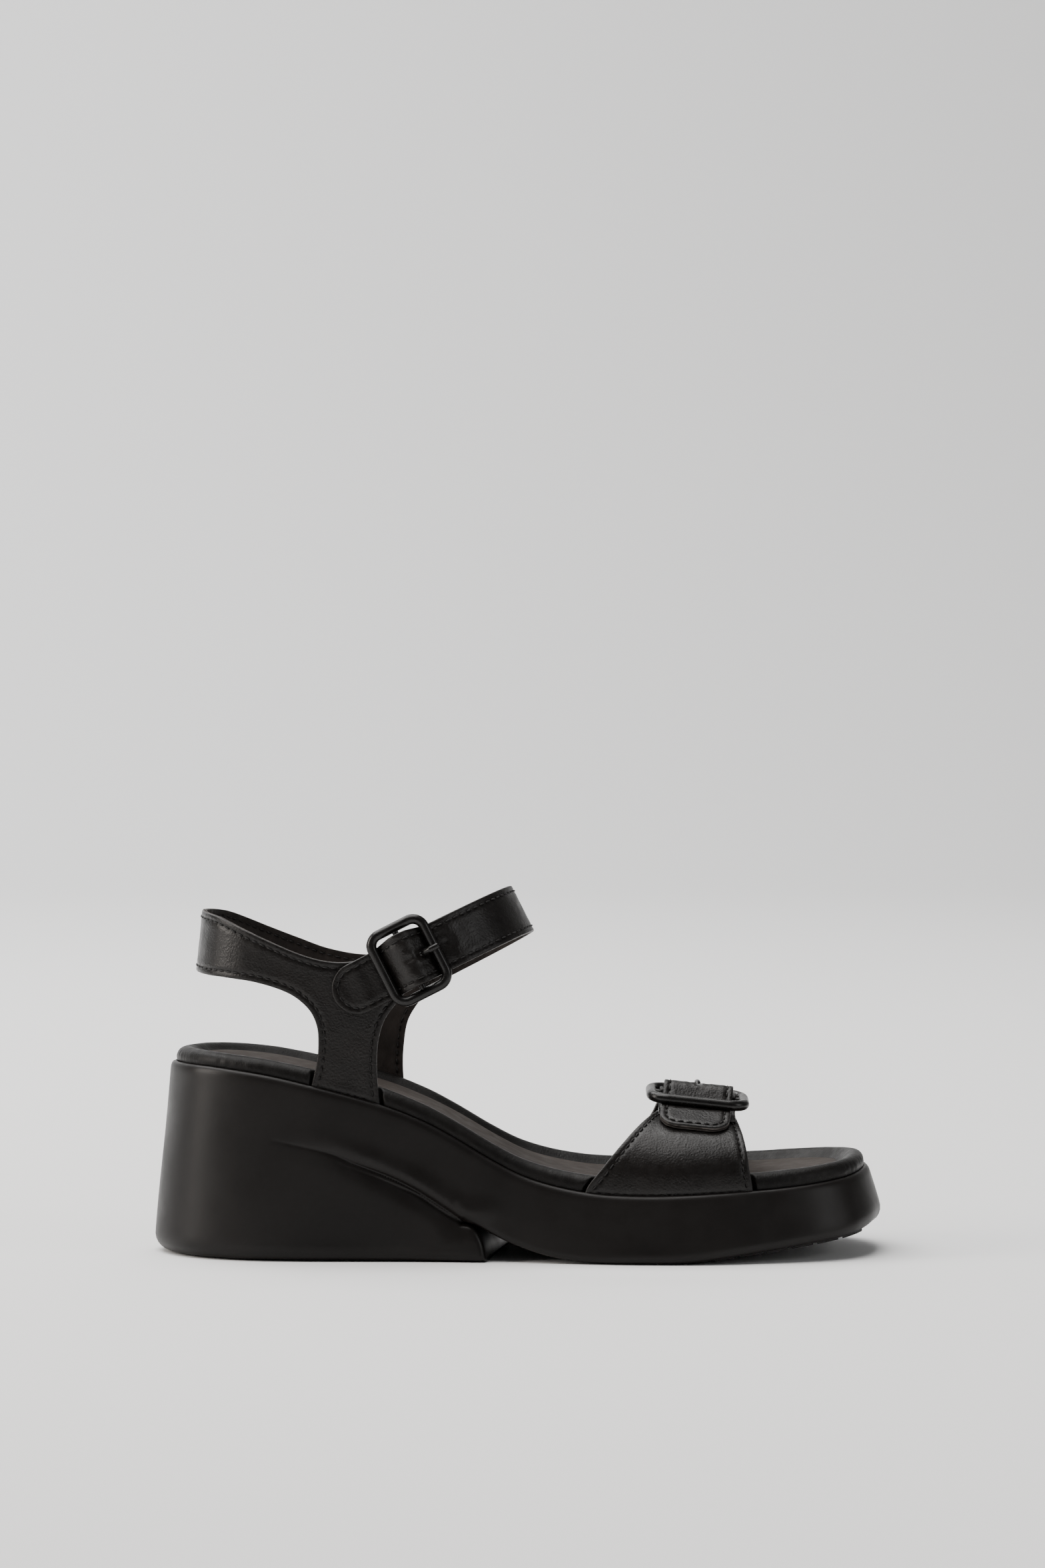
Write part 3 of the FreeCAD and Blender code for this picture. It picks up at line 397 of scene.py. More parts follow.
def seam_relief(uv, d, s):
    """Outer leather dips along its seam, deepest at each hole, and swells a little on both sides."""
    pulled = 0.72 + 0.28 * np.cos(2 * math.pi * s / STITCH_PITCH)
    return (-0.28 * pulled * bump(d, STITCH_INSET, 0.55) + 0.07 * bump(d, STITCH_INSET - 1.0, 0.5)
            + 0.08 * bump(d, STITCH_INSET + 1.4, 0.9) + 0.035 * waves(uv[:, 0], uv[:, 1], 3, 9))


def lining_relief(uv, d, s):
    """Lining leather dips along its seam too, and has fine wrinkles."""
    return (-0.2 * bump(d, STITCH_INSET, 0.5) + 0.1 * waves(uv[:, 0], uv[:, 1] * 0.5, 6, 5)
            + 0.06 * waves(uv[:, 0], uv[:, 1], 4, 2.6))


def two_layers(edge, place, sign, outer, lining, holes=(), cell=1.2):
    """The outer leather and the lining of one piece, each given as its name, CAD node, near and far."""
    made = []
    for (name, node, near, far), slot, skin, relief, under in (
            (outer, "upper_leather", NAPPA, seam_relief, None),
            (lining, "lining_leather", LINING_LEATHER, None, lining_relief)):
        obj = leather(name, edge, place, sign, near, far, [skin, CUT_EDGE], holes, relief, under, cell=cell)
        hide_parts(node)
        made.append(obj)
    return made


# ---------------------------------------------------------------- materials
def material(name, dark, light, rough, mottle=40, grain=900, grain_depth=0.04, fine=2600, fine_depth=0.02,
             rough_spread=0.1, specular=0.5, streak=None):
    """A procedural surface: colour and gloss vary slowly, and two layers of bump give grain and pores. streak
    stretches the grain along the axes, and the bump depths are in millimetres."""
    m = bpy.data.materials.new(name)
    m.use_nodes = True
    nodes, links = m.node_tree.nodes, m.node_tree.links
    shader = nodes["Principled BSDF"]
    where = nodes.new("ShaderNodeTexCoord").outputs["Object"]
    if streak:
        mapping = nodes.new("ShaderNodeMapping")
        mapping.inputs["Scale"].default_value = streak
        links.new(where, mapping.inputs["Vector"])
        stretched = mapping.outputs["Vector"]
    else:
        stretched = where

    def noise(scale, detail, source, distortion=0.0):
        n = nodes.new("ShaderNodeTexNoise")
        n.inputs["Scale"].default_value = scale
        n.inputs["Detail"].default_value = detail
        n.inputs["Distortion"].default_value = distortion
        links.new(source, n.inputs["Vector"])
        return n.outputs["Fac"]

    slow = noise(mottle, 4, where, 0.4)
    ramp = nodes.new("ShaderNodeValToRGB")
    ramp.color_ramp.elements[0].position, ramp.color_ramp.elements[1].position = 0.32, 0.7
    ramp.color_ramp.elements[0].color = (*dark, 1)
    ramp.color_ramp.elements[1].color = (*light, 1)
    links.new(slow, ramp.inputs["Fac"])
    links.new(ramp.outputs["Color"], shader.inputs["Base Color"])
    spread = nodes.new("ShaderNodeMapRange")
    spread.inputs["To Min"].default_value = rough - rough_spread
    spread.inputs["To Max"].default_value = rough + rough_spread
    spread.inputs["From Min"].default_value = 0.3
    spread.inputs["From Max"].default_value = 0.7
    links.new(noise(mottle * 4.3, 5, stretched, 0.2), spread.inputs["Value"])
    links.new(spread.outputs["Result"], shader.inputs["Roughness"])
    cells = nodes.new("ShaderNodeTexVoronoi")
    cells.feature = "SMOOTH_F1"
    cells.inputs["Scale"].default_value = grain
    links.new(stretched, cells.inputs["Vector"])
    first = nodes.new("ShaderNodeBump")
    first.inputs["Strength"].default_value = 1.0
    first.inputs["Distance"].default_value = grain_depth * MM
    links.new(cells.outputs["Distance"], first.inputs["Height"])
    second = nodes.new("ShaderNodeBump")
    second.inputs["Strength"].default_value = 1.0
    second.inputs["Distance"].default_value = fine_depth * MM
    links.new(noise(fine, 3, stretched), second.inputs["Height"])
    links.new(first.outputs["Normal"], second.inputs["Normal"])
    links.new(second.outputs["Normal"], shader.inputs["Normal"])
    shader.inputs["Specular IOR Level"].default_value = specular
    return m


NAPPA = material("nappa_leather", (0.0030, 0.0024, 0.0021), (0.0064, 0.0052, 0.0046), 0.35, mottle=70,
                 grain=1500, grain_depth=0.08, fine=3800, fine_depth=0.045, rough_spread=0.08, specular=0.25)
RIM_LEATHER = material("rim_leather", (0.0026, 0.0023, 0.0021), (0.0054, 0.0047, 0.0043), 0.46, mottle=60,
                       grain=1300, grain_depth=0.07, fine=3200, fine_depth=0.04, rough_spread=0.07,
                       specular=0.15, streak=(1.7, 1.0, 0.55))
SOCK_LEATHER = material("sock_leather", (0.031, 0.0255, 0.0225), (0.043, 0.0360, 0.0320), 0.78, mottle=45,
                        grain=1700, grain_depth=0.04, fine=4200, fine_depth=0.03, specular=0.12)
LINING_LEATHER = material("lining_leather", (0.0095, 0.0072, 0.0062), (0.021, 0.0162, 0.014), 0.6,
                          mottle=110, grain=900, grain_depth=0.11, fine=2400, fine_depth=0.05,
                          streak=(1.0, 1.0, 0.45), specular=0.2)
CUT_EDGE = material("cut_edge", (0.022, 0.0190, 0.0172), (0.125, 0.110, 0.100), 0.62, mottle=420, grain=2600,
                    grain_depth=0.05, fine=5200, fine_depth=0.05, specular=0.25)
SOLE_RUBBER = material("sole_rubber", (0.0038, 0.0031, 0.0028), (0.0066, 0.0055, 0.0050), 0.40, mottle=22,
                       grain=2600, grain_depth=0.006, fine=900, fine_depth=0.006, rough_spread=0.05,
                       specular=0.20)
TREAD_RUBBER = material("tread_rubber", (0.004, 0.0038, 0.0036), (0.007, 0.0066, 0.0062), 0.6, mottle=50,
                        grain=1800, grain_depth=0.03, fine=4200, fine_depth=0.02, specular=0.2)
BUCKLE_BLACK = material("buckle_black", (0.0030, 0.0026, 0.0024), (0.0052, 0.0045, 0.0042), 0.28, mottle=90,
                        grain=3800, grain_depth=0.004, fine=2200, fine_depth=0.006, rough_spread=0.05,
                        specular=0.3)
THREAD = material("thread", (0.0028, 0.0024, 0.0022), (0.0058, 0.0049, 0.0045), 0.5, mottle=900, grain=5200,
                  grain_depth=0.05, fine=9000, fine_depth=0.03, specular=0.25)
BOARD = material("fibre_board", (0.010, 0.0088, 0.008), (0.02, 0.017, 0.015), 0.8, mottle=200)
STEEL = material("shank_steel", (0.42, 0.42, 0.44), (0.5, 0.5, 0.52), 0.35, mottle=90)
CORK = material("cork_filler", (0.32, 0.2, 0.11), (0.5, 0.34, 0.2), 0.85, mottle=400, grain=500,
                grain_depth=0.2)


# ---------------------------------------------------------------- the sole's outline and wall
def sole_halves():
    """Both halves of the plan outline, from the middle of the heel's back to the tip of the toe."""
    loop = spline(OUTLINE, 0.15, closed=True)
    low, high = loop.min(0), loop.max(0)
    loop[:, 0] = (loop[:, 0] - low[0]) * (SOLE_HIGH[0] - SOLE_LOW[0]) / (high[0] - low[0])
    loop[:, 1] = SOLE_LOW[1] + (loop[:, 1] - low[1]) * (SOLE_HIGH[1] - SOLE_LOW[1]) / (high[1] - low[1])
    out = left_of(np.roll(loop[:, :2], -1, axis=0) - np.roll(loop[:, :2], 1, axis=0))
    if np.sum(out * (loop[:, :2] - loop[:, :2].mean(0))) < 0:
        out = -out
    rows = np.hstack([loop, out])
    heel, toe = loop[:, 0].argmin(), loop[:, 0].argmax()
    rows = np.roll(rows, -toe, axis=0)
    heel = (heel - toe) % len(rows)
    return {LATERAL: rows[:heel + 1][::-1], MEDIAL: np.vstack([rows[heel:], rows[:1]])}


HALVES = sole_halves()
HALF_U = {side: lengths(rows[:, :2]) for side, rows in HALVES.items()}


def wall(side, u, z, inset=0.0):
    """Point of the sole's wall: u along the outline from the heel's back, at height z, moved in by inset."""
    s, y, lean, nx, ny = (np.interp(u, HALF_U[side], column) for column in HALVES[side].T)
    spread = np.clip((s - 214) / 30, 0, 1) * 0.25 * lean
    off = spread * (1 - z / LEAN_HEIGHT) - lean * z / LEAN_HEIGHT - inset
    return np.column_stack(np.broadcast_arrays(HEEL_X + s + nx * off, y + ny * off, z))


def wall_u(side, station, z):
    """Where along the outline the wall reaches a station, at height z."""
    station, z = np.broadcast_arrays(np.asarray(station, float), np.asarray(z, float))
    u = HALF_U[side][::4]
    found = [np.interp(s, wall(side, u, h)[:, 0] - HEEL_X, u) for s, h in zip(station.ravel(), z.ravel())]
    return np.array(found)


def footbed(side, u, inset, height):
    """Point of the footbed: inset from the sole's top edge, height above the top line."""
    z = top_line(wall(side, u, MID_HEIGHT)[:, 0] - HEEL_X)
    p = wall(side, u, z, inset)
    p[:, 2] = top_line(p[:, 0] - HEEL_X) + height
    return p


# ---------------------------------------------------------------- wedge sole
# Lower edge of the two walls: the front of the heel block, from the ground to the fold, and the arch's roof,
# from there to the flat of the forefoot, as (station, height).
HEEL_FRONT = {
    LATERAL: [(116.4, FLOOR), (116.1, 3.2), (115.3, 6.8), (113.6, 10.2), (111.4, 12.4), (108.2, 13.5)],
    MEDIAL: [(127.6, FLOOR), (127.3, 2.2), (126.7, 4.2), (125.9, 5.6), (125.3, 6.4), (124.6, 7.0)]}
ARCH_ROOF = {
    LATERAL: [(108.2, 13.5), (112, 13.1), (117.2, 10.4), (122.5, 7.7), (129.5, 4.9), (136, 2.9), (143, 1.5),
              (150, 0.7), (157, FLOOR)],
    MEDIAL: [(124.6, 7.0), (126.4, 6.9), (129, 5.9), (132.4, 4.6), (137, 2.9), (143, 1.5), (150, 0.7),
             (157, FLOOR)]}
# How many points each stretch of a wall's lower edge gets: heel, heel front, arch roof and forefoot.
UNDER_COUNTS = (76, 16, 34, 78)
# The underside rises no higher than this at the toe.
TOE_SPRING = 10.2
# Two fold lines that run back from the arch along both walls, with how deep each one is.
FOLDS = [([(44, 41.4), (53, 39.6), (63.7, 37), (70.7, 33.9), (83, 29.2), (91.7, 24.9), (100.5, 19.5),
           (108.2, 14.2)], 1.0),
         ([(66, 33.6), (75, 30.4), (85, 26.2), (93.5, 22.4), (100.5, 17.8), (108.2, 13.3)], 0.62)]
# Radius of the corner where the wall meets the underside, by station.
CORNER_STATIONS = (0, 12, 30, 90, 112, 125, 150, 170, 215, 240, 254)
CORNER_RADII = (6.2, 5.4, 4.2, 3.6, 2.2, 1.9, 2.0, 2.6, 3.4, 4.6, 6.0)
# The wall's top edge is rounded in by LIP_IN over LIP_HIGH. LIP leads from there down into the tray that
# holds the footbed, as (inset, height above the top line), and a ruled surface has RULED points across.
LIP_IN, LIP_HIGH = 1.35, 2.3
LIP = [(LIP_IN, 0), (1.75, -0.12), (2.05, -0.5), (2.2, -1.2), (2.2, -3.8)]
RULED = 13


def under_run(side):
    """The lower edge of one wall, from the middle of the heel to the tip of the toe, as flat (u, z)."""
    front, roof = (spline(t[side], 0.2) for t in (HEEL_FRONT, ARCH_ROOF))
    start = wall_u(side, front[0, 0], FLOOR)[0]
    runs = [np.column_stack([np.linspace(0, start, UNDER_COUNTS[0]), np.full(UNDER_COUNTS[0], FLOOR)])]
    for run, count in ((front, UNDER_COUNTS[1]), (roof, UNDER_COUNTS[2])):
        at = np.linspace(0, 1, count) * lengths(run)[-1]
        s, z = (np.interp(at, lengths(run), c) for c in run.T)
        runs.append(np.column_stack([wall_u(side, s, z), z]))
    u = np.linspace(runs[-1][-1, 0], HALF_U[side][-1], UNDER_COUNTS[3])
    z = np.full(len(u), 5.0)
    for _ in range(4):
        z = np.minimum(smooth(FLOOR_LINE, wall(side, u, z)[:, 0] - HEEL_X), TOE_SPRING)
    z[0] = runs[-1][-1, 1]
    runs.append(np.column_stack([u, z]))
    return np.vstack([runs[0]] + [r[1:] for r in runs[1:]])


def top_run(side, count):
    """The upper edge of one wall, from heel to toe."""
    u = np.linspace(0, HALF_U[side][-1], count)
    z = np.full(count, float(MID_HEIGHT))
    for _ in range(6):
        z = top_line(wall(side, u, z)[:, 0] - HEEL_X)
    return np.column_stack([u, z])


def side_of(uz):
    """Which side flat points of the whole wall are on: u is negative on the lateral side."""
    return np.where(uz[:, 0] < 0, LATERAL, MEDIAL)


def whole_wall(uz, inset=0.0):
    """Points of the wall on both sides, whose flat form meets at the middle of the heel's back."""
    inset = np.broadcast_to(inset, len(uz))
    out = np.empty((len(uz), 3))
    for side in (LATERAL, MEDIAL):
        mine = side_of(uz) == side
        out[mine] = wall(side, np.abs(uz[mine, 0]), uz[mine, 1], inset[mine])
    return out


def fold_lines():
    """The folds as (flat line, side, strength), and mesh points along them."""
    folds, rows = [], []
    for side in (LATERAL, MEDIAL):
        for table, strength in FOLDS:
            line = spline(table, 0.5)
            if side == MEDIAL:
                # The heel block's front reaches further forward on this side, so its folds run lower.
                line = line * [1.06, 1] + [4.5, 0]
                line[:, 1] -= np.clip((line[:, 0] - 60) / 60, 0, 1) * 5.5
            uz = np.column_stack([wall_u(side, line[:, 0], line[:, 1]) * side, line[:, 1]])
            folds.append((uz, side, strength))
            n = left_of(np.gradient(uz, axis=0))
            for off in (0, 0.45, -0.45, 1.0, -1.0, 1.7, -1.7):
                rows.append(resample(uz + n * off, 1.0))
    points = np.vstack(rows)
    kept = points[:1]
    for p in points[1:]:
        if np.min(np.abs(kept - p).sum(1)) > 0.42:
            kept = np.vstack([kept, p])
    return folds, kept


def fold_inset(uz, d_low, line, side, strength):
    """How far one fold moves the wall in: a crease, a swell above it and a hollow below."""
    d, s = edge_distance(uz, line, closed=False)
    along = step_up(s / lengths(line)[-1], 0.0, 0.75)
    above = uz[:, 1] - np.interp(uz[:, 0] * side, line[:, 0] * side, line[:, 1])
    mine = np.where(side_of(uz) == side, 1.0, 0.0)
    crease = np.exp(-d / (0.6 + 0.35 * along)) * (0.08 + 1.75 * along)
    swell = -0.75 * bump(above, 4.2, 3.4) * np.exp(-(d / 9)**2)
    sunk = 0.55 * bump(above, -2.2, 2.6) * np.exp(-(d / 6)**2)
    return mine * strength * (crease + (swell + sunk) * along * step_up(d_low, 0, 3))


def ruled_grid(left, right):
    """Points and faces of a surface of straight lines between two rows of points."""
    across = np.linspace(0, 1, RULED)[None, :, None]
    points = left[:, None, :] * (1 - across) + right[:, None, :] * across
    return points.reshape(-1, 3), grid_faces(len(left), RULED)


def make_sole():
    under = {side: under_run(side) * [side, 1] for side in (LATERAL, MEDIAL)}
    top = {side: top_run(side, 190) for side in (LATERAL, MEDIAL)}
    low = np.vstack([under[LATERAL][::-1], under[MEDIAL][1:]])
    high = np.vstack([(top[LATERAL] * [LATERAL, 1])[::-1], (top[MEDIAL] * [MEDIAL, 1])[1:]])
    seam = np.linspace(0, 1, 16)[1:-1, None]
    edge = np.vstack([low, low[-1] + (high[-1] - low[-1]) * seam, high[::-1],
                      high[0] + (low[0] - high[0]) * seam])
    radius = np.interp(whole_wall(low)[:, 0] - HEEL_X, CORNER_STATIONS, CORNER_RADII)

    # The wall, as one flat sheet from the toe round the heel to the toe.
    folds, beside_folds = fold_lines()
    uz, faces = triangulate(edge, 1.7, (0.3, 0.8, 1.5, 2.5, 3.8, 5.5, 7.5), extra=beside_folds)
    d_low, s_low = edge_distance(uz, low, closed=False)
    d_high, _ = edge_distance(uz, high, closed=False)
    inset = rounded(d_low, np.interp(s_low, lengths(low), radius))
    share = np.clip(1 - d_high / LIP_HIGH, 0, 1)
    inset = inset + LIP_IN * (1 - np.sqrt(1 - share**2))
    for line, side, strength in folds:
        inset = inset + fold_inset(uz, d_low, line, side, strength)
    inset = inset + 0.16 * waves(uz[:, 0], uz[:, 1], 2, 60) * step_up(d_low, 1, 8) * step_up(d_high, 1, 8)
    pieces = [(whole_wall(uz, inset), faces)]

    # The underside, the lip on each side, and the floor of the tray.
    ends = []
    for side in (LATERAL, MEDIAL):
        _, s = edge_distance(under[side], low, closed=False)
        ends.append(whole_wall(under[side], np.interp(s, lengths(low), radius)))
    pieces.append(ruled_grid(*ends))
    floor = []
    for side in (LATERAL, MEDIAL):
        u, z = top[side].T
        rows = [wall(side, u, z, inset_by) + [0, 0, height] for inset_by, height in LIP]
        pieces.append((np.vstack(rows), grid_faces(len(LIP), len(u))))
        floor.append(rows[-1])
    pieces.append(ruled_grid(*floor))

    verts, faces, count = [], [], 0
    for points, part in pieces:
        verts.append(points)
        faces += [[i + count for i in f] for f in part]
        count += len(points)
    obj = mesh_object("sole_unit", np.vstack(verts), faces, [SOLE_RUBBER], weld=0.02)
    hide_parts("wedge_sole")
    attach(obj, "shoe")


make_sole()


# ---------------------------------------------------------------- padded rim and sock
# Section of the roll round the footbed, as (inset from the sole's edge, height above the top line).
RIM_SECTION = [(2.7, -1.9), (2.25, -0.8), (1.95, 0.5), (1.85, 1.8), (2.1, 3.1), (2.75, 4.3), (3.8, 5.2),
               (5.2, 5.7), (6.7, 5.55), (8.0, 4.85), (9.1, 3.95), (10.0, 3.25), (10.7, 2.75), (11.1, 2.2),
               (11.1, 0.9), (9.6, 0.0), (6.2, -0.4)]
# Where straps come down outside the rim and press it in: the straps' edges as (station, height) runs.
PRESSED = {LATERAL: [([(56.2, 50), (56.9, 62), (57.6, 70)], [(80.6, 50), (79.6, 61), (79.3, 70)]),
                     ([(149.6, 20), (151.1, 26), (155.2, 31.3), (161.6, 39.2)],
                      [(208.4, 20), (207.8, 26), (206.9, 32), (206, 38.6)])],
           MEDIAL: [([(61.6, 50), (62.6, 62), (63.5, 70)], [(87.6, 50), (86.8, 61), (86.6, 70)]),
                    ([(159.2, 20), (161, 26), (165.4, 31.3), (171.4, 39.4)],
                     [(208.4, 20), (207.8, 26), (206.9, 32), (206, 38.6)])]}
# The pressed roll's inset, how far beside a strap the roll swells back, and the strap's play beside it.
PRESSED_TO, PRESS_BLEND, PRESS_PLAY = 4.3, 1.5, 0.2


def strap_press(side, station, height):
    """How far the roll is pressed in by straps at stations and heights: 0 is free and 1 is fully in."""
    press = 0
    for rear, front in PRESSED[side]:
        a, b = (np.interp(height, [r[1] for r in run], [r[0] for r in run]) for run in (rear, front))
        press = press + (step_up(station, a - PRESS_BLEND, a - PRESS_PLAY)
                         * (1 - step_up(station, b + PRESS_PLAY, b + PRESS_BLEND)))
    return press


def make_rim():
    section = spline(RIM_SECTION, 0.6, closed=True)
    loops = []
    for side in (LATERAL, MEDIAL):
        u = np.linspace(0, HALF_U[side][-1], 640)
        if side == MEDIAL:
            u = u[1:-1]
        station = wall(side, u, MID_HEIGHT)[:, 0] - HEEL_X
        size = 0.86 + 0.14 * step_up(station, 20, 70)
        rows = []
        for x, z in section:
            x = x + strap_press(side, station, top_line(station) + z) * (PRESSED_TO - x) * (x < PRESSED_TO)
            creases = 0.16 * waves(u, z * 0.35, 5, 3.4) * bump(x, 2.2, 1.6) * step_up(z, 0.2, 2.2)
            fold = creases + 0.12 * waves(u, x, 8, 17)
            rows.append(footbed(side, u, x + fold * 0.6, z * size + fold * 0.35 * (z > 1)))
        rows = np.array(rows).transpose(1, 0, 2)
        loops.append(rows if side == LATERAL else rows[::-1])
    ring = np.vstack(loops)
    rows, columns = ring.shape[:2]
    faces = [[i % (rows * columns) for i in f] for f in grid_faces(rows + 1, columns, wrap=True)]
    obj = mesh_object("padded_rim", ring.reshape(-1, 3), faces, [RIM_LEATHER], weld=0.001)
    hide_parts("footbed_rim")
    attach(obj, "shoe")


def plan_loop(inset, step):
    """The footbed's outline moved in, seen from above."""
    lateral, medial = (footbed(side, np.linspace(0, HALF_U[side][-1], 500), inset, 0)[:, :2]
                       for side in (LATERAL, MEDIAL))
    return resample(np.vstack([lateral, medial[-2:0:-1]]), step, closed=True)


def bed(xy):
    """Points of the footbed's base surface, seen from above as xy."""
    return np.column_stack([xy, top_line(xy[:, 0] - HEEL_X)])


def make_pad(name, inset, low, high, cell, node, skin, soft):
    """A soft sheet in the footbed, between two heights, that is hollowed a little where the foot stands."""
    def relief(xy, d, s):
        return (-0.55 * step_up(d, 4, 26) + 0.12 * waves(xy[:, 0], xy[:, 1], 1, 38)
                - 0.25 * bump(d, 0.0, 1.3))

    obj = leather(name, plan_loop(inset, 1.2), bed, 1, low, high, [skin, skin], relief=relief, soft=soft,
                  cell=cell, depths=(0.2, 0.5, 1.0, 1.8, 3.0))
    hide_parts(node)
    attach(obj, "shoe")


make_rim()
make_pad("sock_pad", 10.7, 2.35, 3.2, 2.6, "sock_lining", SOCK_LEATHER, (0.5, 0.15))
make_pad("foam_pad", 11.3, 0.1, 1.9, 4.0, "footbed_foam", SOCK_LEATHER, (0.5, 0.2))


# ---------------------------------------------------------------- quarter
# The quarter bends round the heel like a tube: half of its plan at TUBE_LEVEL, from the middle of the back
# forward as (station, y), and how far it leans forward for each millimetre of height.
TUBE_HALF = [(17.2, 0), (18.7, 10.3), (23.8, 19.4), (32.4, 25.8), (44, 29.3), (56, 30.9), (70, 31.4),
             (84, 31.4), (96, 31.1), (108, 30.4), (122, 28.5)]
TUBE_LEVEL, TUBE_LEAN = 108, 0.1
TUBE_BASE = spline([(s, -y) for s, y in TUBE_HALF[:0:-1]] + TUBE_HALF, 0.25)
TUBE_U = lengths(TUBE_BASE)
TUBE_BACK = TUBE_BASE[:, 0].argmin()
# Edges of the quarter seen from the side, as (station, height): front, rear and top.
QUARTER_RUNS = {
    LATERAL: ([(89.6, 93.6), (87.2, 90.4), (84, 86.6), (81.2, 82), (79.4, 75), (79, 68), (79.3, 61),
               (80.4, 51)],
              [(55.4, 50), (55.6, 56), (56.9, 61.9), (58.3, 68), (58.9, 74.1), (58.4, 80.8), (55.6, 86.6),
               (48.9, 91.9), (37.4, 95.6), (25.6, 97.1)],
              [(18.3, 118.9), (24.5, 117.6), (32, 114.3), (41.8, 109.9), (52, 105.7), (60, 103.4),
               (68, 102.8), (75, 104.2), (82.2, 107.2)]),
    MEDIAL: ([(100, 92.0), (95.6, 88.2), (91.4, 83.2), (88.2, 77.4), (86.8, 69), (86.5, 61), (87.4, 49)],
             [(61.2, 50), (61.4, 56), (62.6, 62), (64, 68), (64.6, 74), (63.6, 81), (60, 87), (52, 92.2),
              (39, 95.8), (26, 97.2)],
             [(18.3, 119), (24.5, 117.6), (32, 114.5), (39.2, 111.4), (49.9, 107.1), (60, 103.4),
              (72.5, 101.2), (82, 102.2), (92.5, 106.8)])}
# Height of the band's two edges at the middle of the back.
BAND_LOW, BAND_HIGH = 97.8, 119.4
# Leather goes this far down beside the footbed, its seams stop this far above it, and outlines have a point
# about every EDGE_STEP.
BELOW_BED, SEAM_ABOVE, EDGE_STEP = 2.2, 1.2, 0.8


def tube_place(uz):
    """Points of the tube: u along its plan and height z."""
    s, y = (np.interp(uz[:, 0], TUBE_U, c) for c in TUBE_BASE.T)
    return np.column_stack([HEEL_X + s + TUBE_LEAN * (uz[:, 1] - TUBE_LEVEL), y, uz[:, 1]])


def tube_flat(side, run):
    """Side-view points of the quarter as flat (u, z)."""
    run = np.asarray(run, float)
    s = run[:, 0] - TUBE_LEAN * (run[:, 1] - TUBE_LEVEL)
    if side == LATERAL:
        half, u = TUBE_BASE[:TUBE_BACK + 1][::-1], TUBE_U[:TUBE_BACK + 1][::-1]
    else:
        half, u = TUBE_BASE[TUBE_BACK:], TUBE_U[TUBE_BACK:]
    return np.column_stack([np.interp(s, half[:, 0], u), run[:, 1]])


def foot_of(run):
    """Cuts a side-view run off a little below the footbed."""
    fine = spline(run, 0.3)
    return fine[fine[:, 1] > top_line(fine[:, 0]) - BELOW_BED]


def quarter_edge():
    """Outline of the quarter as flat (u, z), from the front of the lateral side round to it again."""
    back = TUBE_U[TUBE_BACK]
    lat, med = QUARTER_RUNS[LATERAL], QUARTER_RUNS[MEDIAL]
    front, rear = (tube_flat(LATERAL, foot_of(run)) for run in lat[:2])
    front_in, rear_in = (tube_flat(MEDIAL, foot_of(run)) for run in med[:2])
    low = spline(np.vstack([rear[-3:-1], [(back, BAND_LOW)], rear_in[-3:-1][::-1]]), 0.5)
    lat_top = tube_flat(LATERAL, spline(lat[2], 0.4))
    med_top = tube_flat(MEDIAL, spline(med[2], 0.4))
    high = spline(np.vstack([lat_top[:2][::-1], [(back, BAND_HIGH)], med_top[:2]]), 0.5)
    loop = np.vstack([front, rear[:-3], low, rear_in[:-3][::-1], front_in[::-1], med_top[:1:-1], high[::-1],
                      lat_top[2:]])
    return resample(loop, EDGE_STEP, closed=True)


def above_bed(place):
    """A test of whether a flat point is high enough above the footbed to be sewn."""
    def test(uv):
        x, _, z = place(uv[None])[0]
        return z > top_line(x - HEEL_X) + SEAM_ABOVE
    return test


def make_quarter():
    edge = quarter_edge()
    pieces = two_layers(edge, tube_place, -1, ("quarter_leather", "quarter_outer", LAYER_GAP, OUTER),
                        ("quarter_inside", "quarter_lining", -LINING, 0.0))
    pieces.append(stitching("quarter_stitches", edge, tube_place, -1, [(OUTER, 1), (-LINING, -1)],
                            keep=above_bed(tube_place)))
    for obj in pieces:
        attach(obj, "shoe")


make_quarter()


# ---------------------------------------------------------------- forefoot panels
# Section of the panels over the foot at BUCKLE_STATION, as (y, height), from the sole's edge inward. Further
# forward the upper part is lower, by ARCH_DROP for each millimetre.
ARCH_TABLE = {LATERAL: [(-40.75, 18), (-40.8, 22), (-41.1, 27), (-40.2, 32.5), (-37.4, 37.6), (-33, 41.8),
                        (-27.6, 44.9), (-22, 46.9), (-16.6, 48.1), (-12.6, 48.7)],
              MEDIAL: [(40.9, 18), (41, 22), (41.3, 27), (40.4, 32.6), (37.8, 38.2), (33.4, 43.2),
                       (27.8, 47.2), (21.6, 49.9), (15.2, 51.2), (10, 51.6)]}
BUCKLE_STATION, ARCH_DROP = 190, 0.108
# The panels' outer face stands this far inside the sole's top edge.
PANEL_INSET = 1.75
# Rear and front edges of each panel seen from the side, as (station, height).
PANEL_RUNS = {
    LATERAL: ([(149.4, 18), (149.7, 21), (151.1, 26), (155.2, 31.3), (161.6, 39.2), (167.6, 45.3),
               (172.4, 48.8), (176.2, 50.3)],
              [(203.4, 47.3), (204.8, 43.8), (206, 38.6), (206.9, 32), (208, 26), (208.4, 20)]),
    MEDIAL: ([(158.8, 18), (159.2, 21), (161, 26), (165.4, 31.3), (171.4, 39.4), (175, 45), (176.8, 50),
              (177.3, 52.9)],
             [(203, 50.1), (204.8, 44), (206, 38.6), (206.9, 32), (208, 26), (208.4, 20)])}
ARCH_BASE = {side: spline(table, 0.2) for side, table in ARCH_TABLE.items()}


